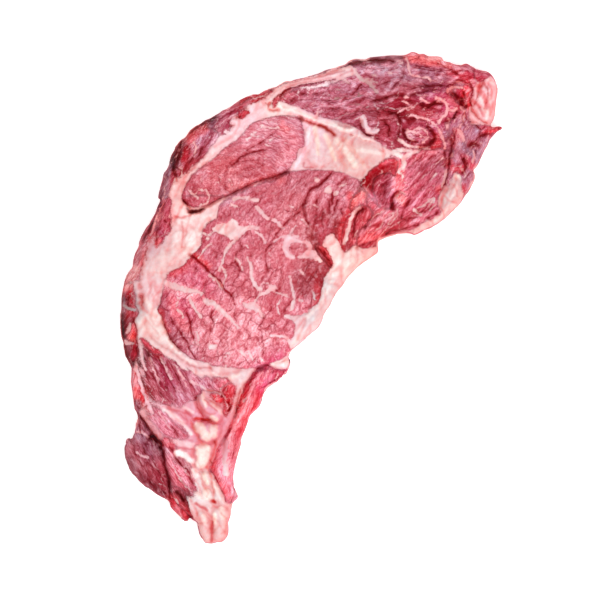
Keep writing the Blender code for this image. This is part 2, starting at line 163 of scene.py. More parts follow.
# Bands of fat and sinew that cross a muscle, and one painted highlight: half width at the start and the end in squares,
# rise in mm, path.
FAT_BANDS = (
    # the eye
    (1.5, 1.2, 0.10, "234,199.5 240,198.5 247,198 252,200 258,201"),
    (1.1, 0.7, 0.05, "231,204 235,206 239,207"),
    (1.7, 0.5, 0.12, "238,237 233,242 228.6,247.3 225.5,252 224.5,256.5 222.4,263.7 218.4,271"),
    (1.5, 1.2, 0.10, "257,208 262,212 265,217 268,219"),
    (1.6, 1.2, 0.10, "274,220 278,223 282,228"),
    (1.0, 1.9, 0.15, "247.5,258 251,266.5 252,277 254,283 257,287.5"), (1.9, 0.9, 0.15, "257,287.5 261,289 264,284.5 268,283.5"),
    (3.0, 2.2, 0.25, "271.5,288.2 273.5,287.6"), (1.5, 0.8, 0.12, "270,290 266,292.6 260,295.3 257,299 254,303.5"),
    (0.6, 0.4, 0.05, "273,291 279,294 288,297"),
    (1.2, 2.6, 0.18, "244,304 248,306 253,307.5 257,309"), (2.6, 1.2, 0.15, "257,309 260,312 262.5,316"), (1.2, 0.8, 0.08, "250,304 256,304.5 260,308"),
    (0.8, 0.9, 0.10, "290.5,277 291.5,284 293,291.2 294,299.4"), (1.3, 1.0, 0.10, "294,299.4 292.5,305 291,310"), (0.9, 0.6, 0.05, "299,299 302,301.5"),
    (0.9, 0.6, 0.06, "313,291 315,299"), (0.8, 0.6, 0.05, "300,270 303,274"),
    (1.4, 1.8, 0.12, "285,315.5 290,317 297,318 303,316 309,314"),
    (1.0, 1.3, 0.12, "271,335.5 278,336 284.7,337 289,340 291,345"),
    (2.5, 2.0, 0.22, "205.5,301 209,302 213.3,303.7 217,307"), (2.0, 0.9, 0.15, "217,307 221.4,310.6 226,314.5 229.6,317.8 234,322.5 238,327"),
    (1.2, 0.9, 0.08, "190.5,299.5 193,304 196,309.6 201,317"),
    (1.8, 2.6, 0.12, "162,281 168.4,284 174,286.5"), (2.6, 1.5, 0.14, "174,286.5 182,288.5 190,290.5 198,291.5 202,294"),
    (0.8, 0.6, 0.06, "178,297 177,306"), (1.0, 0.8, 0.06, "178,310.5 182,313 184,317"),
    (1.4, 1.2, 0.12, "241.5,351.5 244.5,355.5"), (1.1, 0.9, 0.10, "248,351 251,356 251.5,359"), (1.2, 0.8, 0.06, "260,358 262.5,361"),
    (0.7, 0.6, 0.05, "197,332 198.5,339 198,346"),
    (1.1, 0.8, 0.06, "303,220 306,223 308,227"), (0.7, 0.5, 0.04, "339,187 347,184"), (0.6, 0.5, 0.03, "314,205 318,207"), (0.6, 0.5, 0.03, "289,206 293,208"),
    (1.2, 0.9, 0.08, "210.5,275.5 217.3,281 222.4,288.2"),
    (1.6, 2.2, 0.12, "284,247 285.5,251 288.5,254.5 293,257"), (1.6, 1.4, 0.12, "284,247 287.5,241.5 291,238 297,237"),
    (0.8, 0.7, 0.08, "298,243 302,242 306,241.5"),
    (0.6, 0.4, 0.03, "226,232 216,231 208,236"), (0.9, 0.7, 0.05, "204,233 206,235"), (0.9, 0.7, 0.05, "207.5,238 208.5,239.5"),
    (0.8, 0.6, 0.05, "246.5,245 248,248"), (0.8, 0.6, 0.05, "269.5,253.5 271.5,256"), (0.7, 0.6, 0.04, "213,346.5 214.5,348.5"), (0.9, 0.7, 0.05, "227,352.5 229,354.5"),
    (0.6, 0.4, 0.03, "212,243 205,249 199,258"),
    (0.8, 0.6, 0.02, "274,243 279,238 284,237"),
    (0.9, 0.6, 0.02, "243,270 240,263 236,259"),
    (0.8, 0.6, 0.02, "223,268 226,276 223,284"),
    (0.8, 0.6, 0.02, "280,300 277,307 279,313"),
    (0.8, 0.6, 0.02, "255,232 262,236 266,243"),
    (0.8, 0.6, 0.02, "296,226 291,231 290,238"),
    (1.0, 1.7, 0.30, "360,207.5 354.5,212 351,219 348.5,228 346.5,236 344,243"),
    # complexus
    (0.5, 0.5, 0.04, "190,191 193,194 196,196 198,199"),
    (0.4, 0.4, 0.04, "196,194 200,190 203,191"),
    (0.4, 0.4, 0.03, "206,190 209,196 207,203 200,205"),
    (0.6, 0.4, 0.03, "230,180 233,186"),
    (0.7, 0.4, 0.04, "262,126 270,129 279,128"),
    (0.5, 0.4, 0.03, "246,140 252,137 258,137"),
    # cap
    (1.7, 1.2, 0.15, "355,73 359,76.5 363,80.4 368,83 371,86 374,89.5 377,93"), (0.8, 0.5, 0.08, "363,80.5 369,80 374,82"), (0.6, 0.4, 0.06, "368,83 372,82 377,83"), (0.6, 0.5, 0.06, "342,78 346,81 350,84.5"),
    (0.5, 0.4, 0.05, "343,80 347,84"),
    (1.1, 0.5, 0.10, "302,88.5 308,88 315,87 325,85 338,81"),
    (0.6, 0.7, 0.06, "406,58 408,64 409,70 412,75 418,77 424,78 430,78"),
    (3.3, 2.2, 0.7, "363.2,119 364,123 366,127.6 369.4,130.8 373,132 377,131.2"),
    (0.6, 0.5, 0.08, "355.5,119.6 359,118 363,118.4"), (0.9, 0.6, 0.10, "318,111 317,116 316,120"), (0.6, 0.5, 0.05, "371,112 376,117 377,124 374,129"), (0.5, 0.4, 0.05, "367,108 372,107 377,109"),
    (1.4, 1.0, 0.25, "405,98 408,98"),
    (0.7, 0.5, 0.20, "407,130 410,131.5 414,129.5 419,128.5 423,129.5 426,133 427.5,137 425,141 422,143"),
    (0.5, 0.4, 0.08, "407,131 407,136 410,139.5 415,141"), (0.5, 0.4, 0.06, "413,133 418,134 420,137"),
    (0.8, 1.0, 0.20, "409,116 414,116 420,118 427,120 433,124 438,129 441,135 443.5,142 444.5,148"),
    (1.1, 1.2, 0.22, "436,98 441,99.5 445,103 447,108 445.5,114 441,119 438,124"),
    (0.8, 1.2, 0.12, "447,110 452,111 456,109"),
    (0.8, 0.6, 0.10, "447,93 449,89 453,87.5 459,88 464,90"),
    (1.3, 0.9, 0.10, "421,99 426,102 430,105"),
    (0.5, 0.5, 0.03, "402,102 407,104 411,107"),
    (0.6, 0.5, 0.03, "398,113 404,110 410,107"),
    (1.2, 0.8, 0.10, "398,140 404,144 411,147 417,148"),
    (1.6, 0.8, 0.10, "396,153 403,151 411,150.5"), (0.9, 0.5, 0.08, "411,147.5 420,148 430,149.5"),
    (0.5, 0.4, 0.03, "372,76 376,76"),
    (0.5, 0.4, 0.03, "388,74 392,74"),
    (0.5, 0.4, 0.03, "335,99 339,99"),
    # lower cap
    (2.4, 1.6, 0.15, "394,153 400,156 404,162 403,168"), (0.8, 0.5, 0.08, "398,172 402,176 401,182"),
    (2.0, 1.0, 0.10, "404,158 412,153 420,150"),
    (0.9, 0.7, 0.08, "446,171 444,179 442,187"),
    (1.4, 0.8, 0.12, "414,210 418,213 421,215"),
    # painted highlight: the pale arc on top of the round lump in the lower cap
    (0.9, 0.6, 0.08, "396,196 401,192 405,195"),
    (0.7, 0.5, 0.05, "430,200 424,205 418,208"),
    # right end
    (2.0, 1.2, 0.20, "459,132 462,136 463,140"),
    (0.7, 0.5, 0.06, "473,152 474,158 472,163"),
    (0.6, 0.5, 0.05, "462,170 465,175 463,179"),
    (1.0, 0.7, 0.10, "461,108 464,112 463,120 460,128"),
    # trim and wall
    (1.6, 1.0, 0.10, "226,132 229,134 233,132"),
    (0.8, 0.6, 0.05, "194,142 196,148 195,156"),
    (-0.1, -0.2, 0.03, "176,157 178,152 180,147"),
    (0.5, 0.9, 0.05, "164,203 160,210 156,218 154,226 151,236"),
    (-0.1, -0.1, 0.05, "163,173 166,180 165,190 163,199"),
    (0.9, 1.2, 0.12, "124,305 128,308 132,309 135,310"),
    (0.8, 0.6, 0.10, "131,324 130,329 127,333"),
    (1.6, 1.3, 0.15, "124,342 128,342.5 133,343"),
    # tail
    (1.1, 0.9, 0.20, "191,381 197,384 203,387 207,390 213,391 220,393"),
    (1.3, 1.0, 0.15, "136,364 139,375 143,390 148,403 153,413"),
    (1.2, 0.9, 0.15, "138,337 141,350 143,360 146,370"),
    (1.9, 1.6, 0.25, "163,408.5 172,414.5 180,420 186,427 191,434.5"), (3.0, 2.6, 0.5, "194,471.5 195.5,475.5"),
    (3.1, 2.7, 0.7, "176.5,453 180,452.5 184,455 188,458.5 191.5,461"),
    (0.6, 0.5, 0.03, "160,357 166,368 172,379"),
    (0.5, 0.4, 0.03, "176,366 182,376 186,386"),
    (0.5, 0.4, 0.03, "150,358 154,370 159,381"),
    (0.5, 0.4, 0.03, "158,412 166,421 172,430"),
    # flap and strip
    (0.7, 0.5, 0.05, "136,431 142,433 148,437"),
    (0.9, 0.6, 0.06, "137,452 142,456 147,458"),
    (2.6, 2.8, 0.15, "226,442 225,452 225,463 226,474"),
)

# Patches of fat that lie in a muscle: rise in mm, outline.
FAT_PATCHES = (
    (0.15, "212,228 219,223.8 226,223 233,219 237,221 238.5,225.5 244,227 252,225.3 260,227 258.5,230 251.5,229.7 245.5,232.6 241,235 237,238 232,240.5 224,236 216,232.6"),
    (0.15, "284,238 288,235 293,236 297,239 303,241 301,243 296,243 291,246 289,250 290,255 295,258 288,258 284,253 283,246"),
    (0.10, "314,178 318,178 320,181 317,183 314,182"),
    (0.15, "326,187 330,187 332,190 329,194 325,193 324,190"),
    (0.12, "334,191 338,191 339,194 336,196 333,195"),
    (0.10, "304.5,243 306,241 311,242.6 312,249.8 317,253.3 321.7,261.7 319,262.5 313.3,259.3 307.4,258 299,258.8 297.5,256 303.8,252.1 307.4,248.6"),
    (0.08, "209,345 216,345 216,349 210,349"),
    (0.35, "326,237 330,235 333,234 336,238 340,243 342,252 342,262 337,268 331,268 334,263 330,255 327,248 322,245 324,241"),
    (0.25, "476,83 482,82 488,78 494,79 497,90 496,100 495,112 492,122 484,124 478,124 472,120 470,112 473,104 473,94"),
    (0.25, "330,70 345,67.5 352,66 356,69 356,73 350,76 345,78 338,80 330,79 326,76"),
    (0.15, "470,107 474,108 474,114 471,116 468,112"),
    (0.50, "441,198 444,192 450,187 452,179 456,174 460,176 461,186 462,193 463,198 459,204 452,211 446,218 440,221 432,225 425,228 420,225 430,220 438,217 441,212 439,205"),
)

# Small muscle left inside a patch of fat: outline.
ISLANDS = (
    "290,248 291,244 296,242.5 301,243.5 304,247 303,251 300,254 295,255 291,253",
    "261.5,286.5 263,284 267,284 269,286.5 267,289 263,289",
    "368,108 374,106 378,112 378,122 374,128 369,127 366.5,120 366.5,113",
    "433,102 438,102 443,104 444,109 440,112 432,111 426,109 426,105",
)

# Streaks of red or pink sinew on fat, and a few painted shadows: half width at each end, strength, colour, path.
PINK = (
    (2.2, 1.2, 0.55, (224, 70, 74), "474,84 479,88 480,95"), (1.4, 0.7, 0.60, (206, 50, 60), "476,78 482,82 485,88"),
    (1.8, 0.8, 0.60, (210, 44, 54), "473,101 479,107 482,114"), (1.0, 0.6, 0.50, (226, 92, 96), "488,84 492,92 491,99"),
    (0.9, 0.5, 0.45, (220, 80, 86), "484,96 486,103 484,109"), (0.9, 0.6, 0.45, (226, 90, 94), "493,102 492,110 489,116"),
    (0.9, 0.5, 0.50, (214, 84, 90), "444,196 449,201 456,203"), (0.9, 0.4, 0.50, (218, 96, 100), "452,184 456,190 457,197"),
    (1.0, 0.5, 0.50, (216, 90, 96), "438,206 443,212 444,218"), (0.8, 0.5, 0.50, (220, 100, 104), "426,218 432,222 433,227"),
    (1.3, 0.8, 0.55, (218, 90, 96), "446,189 442,197 440,206"), (1.0, 0.7, 0.50, (220, 100, 104), "418,224 412,228 404,231"),
    (0.7, 0.5, 0.55, (214, 96, 100), "182,222 183,235 182,248"),
    (0.6, 0.5, 0.45, (222, 110, 112), "190,215 188,225 186,236"),
    # the second and third streaks here are painted shadow in the hole under the complexus edge
    (0.9, 0.7, 0.65, (216, 84, 86), "176,217 181,218 185,217 191,215"), (1.0, 1.3, 0.80, (120, 30, 36), "187.5,209.5 191,211.8 195,212.2"), (1.5, 0.9, 0.92, (96, 24, 28), "193,212.2 197,211.6 200,210.2 204,208.8"),
    (3.0, 2.4, 0.35, (233, 140, 132), "178,246 184,249 190,249"),
    (0.7, 0.6, 0.55, (206, 100, 104), "199,161 196,166 191,171"),
    (0.8, 0.6, 0.45, (202, 120, 118), "150,336 155,341 160,345 170,350 177,356 183,361"),
    (0.7, 0.5, 0.55, (196, 96, 100), "187,363 192,366 199,368"),
    (0.7, 0.5, 0.55, (196, 96, 100), "200,368 205,367.5 211,368.5"),
    (0.7, 0.5, 0.45, (200, 100, 104), "209,366 213,370.5"),
    (0.8, 0.5, 0.65, (200, 72, 80), "304,163 304,167 308,168 313,168"),
    (0.7, 0.5, 0.55, (214, 96, 104), "382,142 383,151"),
 (0.35, 0.35, 0.85, (196, 84, 62), "304,121 310,123 316,124.6"), (0.7, 0.9, 0.90, (186, 74, 44), "318,125 324,127.6 330,131.2 335,135.6"),
    # painted shadow: the two soft pink lines on either side of the fold of the fat pad
    (2.2, 1.6, 0.40, (240, 164, 150), "344,139 350,147 358,157 364,165"), (2.0, 1.4, 0.35, (240, 166, 152), "329,138 334,148 341,159 347,168"),
    (0.7, 0.5, 0.35, (226, 140, 138), "313,140 318,150 318,160"),
    (0.8, 0.6, 0.40, (226, 128, 132), "345,232 344,246 342,262"),
    (0.8, 0.6, 0.40, (226, 128, 132), "350,236 351,249 350,262"),
    (0.8, 0.6, 0.40, (220, 118, 124), "357,248 358,256 357,263"),
    (0.7, 0.5, 0.40, (226, 130, 134), "325,289 325,296 326,304"),
    (0.7, 0.5, 0.40, (226, 130, 134), "340,285 335,293 330,303"),
    (0.7, 0.5, 0.35, (228, 138, 140), "310,325 306,331 303,338"),
    (0.7, 0.5, 0.35, (228, 138, 140), "297,340 294,344 291,349"),
    (0.8, 0.6, 0.45, (228, 124, 126), "345,64 336,71 326,76"),
    (1.6, 1.0, 0.40, (226, 96, 100), "264,100 268,94 273,90"), (0.9, 0.6, 0.65, (196, 66, 82), "290,83 300,80.4 312,78.4 324,76.4 336,73.4 344,71.5"),
    (0.7, 0.5, 0.60, (206, 90, 102), "286,88 296,85 308,82.4 320,80.4 331,78.2"), (0.6, 0.5, 0.55, (214, 104, 112), "318,75.4 330,72.4 341,69.8"), (0.7, 0.5, 0.55, (200, 80, 96), "340,76.5 346,73.5 352,71"),
    (1.3, 0.9, 0.70, (210, 70, 84), "196,504 201,506.5 207,510"), (0.8, 0.6, 0.70, (214, 84, 84), "205,400 209,404 213,407 217,411"),
    (0.8, 0.6, 0.60, (220, 96, 92), "202,408 206,412 211,414 215,413"), (0.7, 0.5, 0.60, (216, 90, 92), "210,400.5 215,403 220,406"), (0.8, 0.6, 0.45, (232, 120, 122), "199,400 201,408 205,415"),
    (1.4, 1.0, 0.90, (208, 54, 42), "196,418.6 200,418.6 204,419.4 208,419.8"), (0.8, 0.6, 0.60, (226, 110, 84), "208,420 212,422.5 217,422.5"),
    (0.6, 0.5, 0.60, (216, 120, 98), "192,424 195,431 198,438 202,442"), (0.5, 0.4, 0.45, (230, 160, 140), "209,426 209.5,431 209,436"),
    (0.8, 0.6, 0.50, (220, 110, 106), "213,443 219,438 222,431"), (0.9, 0.6, 0.60, (228, 80, 70), "216,442 214.5,449 213,456 209,465"),
    (1.4, 1.0, 0.60, (234, 96, 84), "207,467 209.5,471 210.5,476"), (0.6, 0.6, 0.50, (232, 110, 98), "211,477 212,483 214,490 213.6,498"), (1.6, 1.2, 0.90, (214, 44, 32), "213,501.5 215,502.5"),
    (0.8, 0.6, 0.45, (226, 120, 116), "200,474 202,481 203,487"), (0.7, 0.5, 0.45, (226, 130, 120), "206,489 208,493 207,497"),
    (1.1, 0.9, 0.80, (204, 64, 68), "212,522 211.5,529 212,536 211.5,543"), (0.6, 0.5, 0.50, (214, 110, 104), "221,513 226,519 226,528 222,534"), (0.6, 0.5, 0.45, (218, 120, 112), "219,526 215,530 213,534"),
    (0.8, 0.6, 0.50, (226, 110, 112), "190,500 194,506 197,513 200,520"), (0.8, 0.6, 0.50, (206, 80, 96), "166,405 176,410 188,414"), (0.9, 0.6, 0.50, (206, 76, 90), "186,410 190,415 194,420"),
    (0.7, 0.5, 0.50, (206, 70, 80), "174,446 184,448.5 192,449"), (0.8, 0.6, 0.45, (214, 90, 100), "176,434 184,438 192,441"), (0.8, 0.6, 0.50, (200, 80, 96), "168,408 178,413 186,420"),
    (0.9, 0.6, 0.45, (222, 100, 104), "186,462 190,467 190,473"), (1.0, 0.8, 0.45, (226, 110, 114), "196,480 199,486 200,490"),
    (0.8, 0.6, 0.45, (150, 90, 70), "259,391 257,397 255,404"),
    (1.0, 0.8, 0.40, (232, 130, 138), "236,386 234,396 231,408"),
    (0.8, 0.6, 0.50, (214, 96, 104), "246,205 252,196 256,190"),
    (0.7, 0.5, 0.40, (222, 120, 126), "452,188 450,196 446,204 444,212"),
    (0.7, 0.5, 0.40, (222, 120, 126), "458,182 457,192 453,202"),
    (2.4, 1.5, 0.55, (232, 96, 100), "478,90 484,96 486,106 483,116"),
    (1.2, 0.8, 0.60, (210, 60, 66), "476,76 480,84 477,92"),
    (1.0, 0.7, 0.45, (226, 110, 114), "491,92 489,104 490,116"),
    (1.0, 0.8, 0.35, (224, 138, 140), "150,286 153,296 158,305"),
    (1.0, 0.7, 0.35, (224, 138, 140), "146,318 152,326 160,336"),
    (1.4, 1.0, 0.45, (226, 120, 116), "141,303 144,309 147,312"),
    (2.5, 1.8, 0.35, (230, 140, 136), "147,322 148,330 145,336"),
    (1.2, 0.8, 0.30, (228, 142, 142), "190,226 196,232 197,242"),
    (1.2, 0.8, 0.30, (228, 142, 142), "240,370 228,374 218,374"),
    (1.5, 1.0, 0.30, (232, 150, 146), "258,104 254,112 246,118"),
)

# Paler strands on fat, and painted highlights and sheens on it: half width, strength, colour, path.
PALE = (
    # the first of these is a painted highlight on the fat of the right end
    (1.6, 1.0, 0.70, (255, 240, 238), "484,110 487,114 486,120"), (1.4, 0.9, 0.60, (255, 232, 232), "480,99 483,104 484,108"), (1.2, 0.8, 0.60, (255, 230, 230), "489,98 490,104"),
    (1.9, 1.4, 0.90, (252, 228, 240), "307.5,127 308,136 307,146 304,153 299,160 295,168"),
    (1.9, 1.4, 0.70, (255, 238, 236), "276,104 283,107 291,109 299,112 307,116 314,119"), (1.9, 1.2, 0.75, (255, 236, 234), "322,122.5 330,124 338,128 346,131 354,129"),
    (1.1, 0.7, 0.70, (255, 238, 236), "353,136 360,138 367,140.5 374,141.5"), (3.4, 2.8, 0.45, (255, 236, 224), "337,141 343,149 350,158 355,166"), (2.2, 1.6, 0.50, (255, 230, 208), "315,128 317,140 318,154"), (2.0, 1.4, 0.45, (255, 228, 204), "326,136 330,148 335,160"),
    (1.2, 0.9, 0.60, (255, 236, 234), "157,310 160,318 164,330 170,342 178,352 187,360 196,364"),
    (1.2, 0.9, 0.50, (255, 232, 230), "150,345 158,349 168,354 176,361 183,367 190,371 200,373 213,373 218,376"),
    (2.4, 1.8, 0.50, (255, 232, 228), "146,300 152,310 156,320"),
    (1.5, 1.0, 0.40, (255, 230, 228), "306,130 309,138 309,145 306,158"),
    (1.4, 1.0, 0.55, (255, 228, 226), "275,106 284,109 292,112 300,114 308,118 318,121"),
    (1.2, 0.9, 0.45, (255, 228, 226), "318,110 317,119"),
    (2.0, 1.5, 0.40, (255, 232, 228), "346,148 358,150 370,152 382,154"),
    (2.0, 1.5, 0.40, (255, 228, 224), "176,208 182,212 190,214 198,214"),
    (2.2, 1.6, 0.40, (255, 232, 230), "186,252 180,258 172,264"),
    (2.0, 1.5, 0.45, (255, 236, 232), "325,286 321,302 308,316"),
    (1.8, 1.4, 0.45, (255, 236, 232), "300,330 298,338 292,345"),
    (1.2, 0.9, 0.45, (255, 240, 236), "332,274 330,284 326,294"),
    (1.2, 0.9, 0.40, (255, 232, 228), "352,254 348,264 342,274"),
    (2.4, 1.8, 0.45, (255, 236, 226), "272,364 280,362 286,362"),
    (2.0, 1.5, 0.45, (255, 236, 226), "222,382 230,378 238,374"),
    (1.8, 1.3, 0.70, (255, 226, 220), "203,395 204,401 206,406"), (2.0, 1.4, 0.60, (255, 222, 216), "213,403 218,408 221,413"), (2.2, 1.8, 0.70, (255, 232, 220), "212,417 216,419"),
    (5.0, 4.0, 0.60, (255, 232, 218), "199,427 204,433 207,437"), (3.6, 3.0, 0.60, (255, 228, 216), "214,428 214,435"), (7.0, 5.0, 0.75, (255, 236, 228), "203,450 203,457 201,463"),
    (3.2, 2.8, 0.95, (255, 250, 252), "176.5,453 180,452.5 184,455 188,458.5 191.5,461"), (3.2, 2.8, 0.90, (255, 246, 248), "194,472 195.5,475.5"),
    (2.0, 1.6, 0.65, (255, 236, 222), "204,475 207,483"), (3.0, 2.4, 0.65, (255, 232, 222), "206,491 208,498"), (1.8, 1.4, 0.50, (255, 226, 220), "214,483 218,493"),
    (2.8, 2.0, 0.70, (255, 240, 238), "192,491.5 199,495 206,499.5"), (1.8, 1.4, 0.70, (255, 236, 226), "214.5,515 214.5,523"), (2.6, 2.0, 0.55, (255, 230, 222), "221,509 223,518"), (2.0, 1.6, 0.50, (255, 228, 222), "203,516 205,524"),
    (2.0, 1.6, 0.70, (255, 236, 238), "164,409.5 172,415 180,421 186,427 191,434"), (1.4, 1.0, 0.60, (255, 230, 232), "178,404 186,408 194,413"), (3.0, 2.2, 0.50, (255, 228, 230), "172,440 182,443 192,445"),
    (1.3, 1.0, 0.45, (255, 232, 228), "449,200 455,194 457,186"),
    (1.6, 1.2, 0.60, (250, 240, 226), "456,176 460,177"),
    (1.0, 0.8, 0.50, (250, 232, 230), "432,223 440,217 447,209"),
    (1.6, 1.2, 0.40, (250, 222, 222), "246,110 254,105 260,103"),
    (1.2, 0.9, 0.50, (250, 226, 226), "228,140 218,148 208,157 198,167 186,180"),
    (1.2, 0.9, 0.45, (250, 222, 222), "176,186 173,194 173,203"),
    (1.0, 0.8, 0.45, (252, 226, 226), "339,70 348,70"),
    (1.4, 1.0, 0.50, (252, 228, 228), "480,76 486,78 492,84"),
    (1.6, 1.2, 0.45, (252, 226, 226), "489,110 490,118"),
)
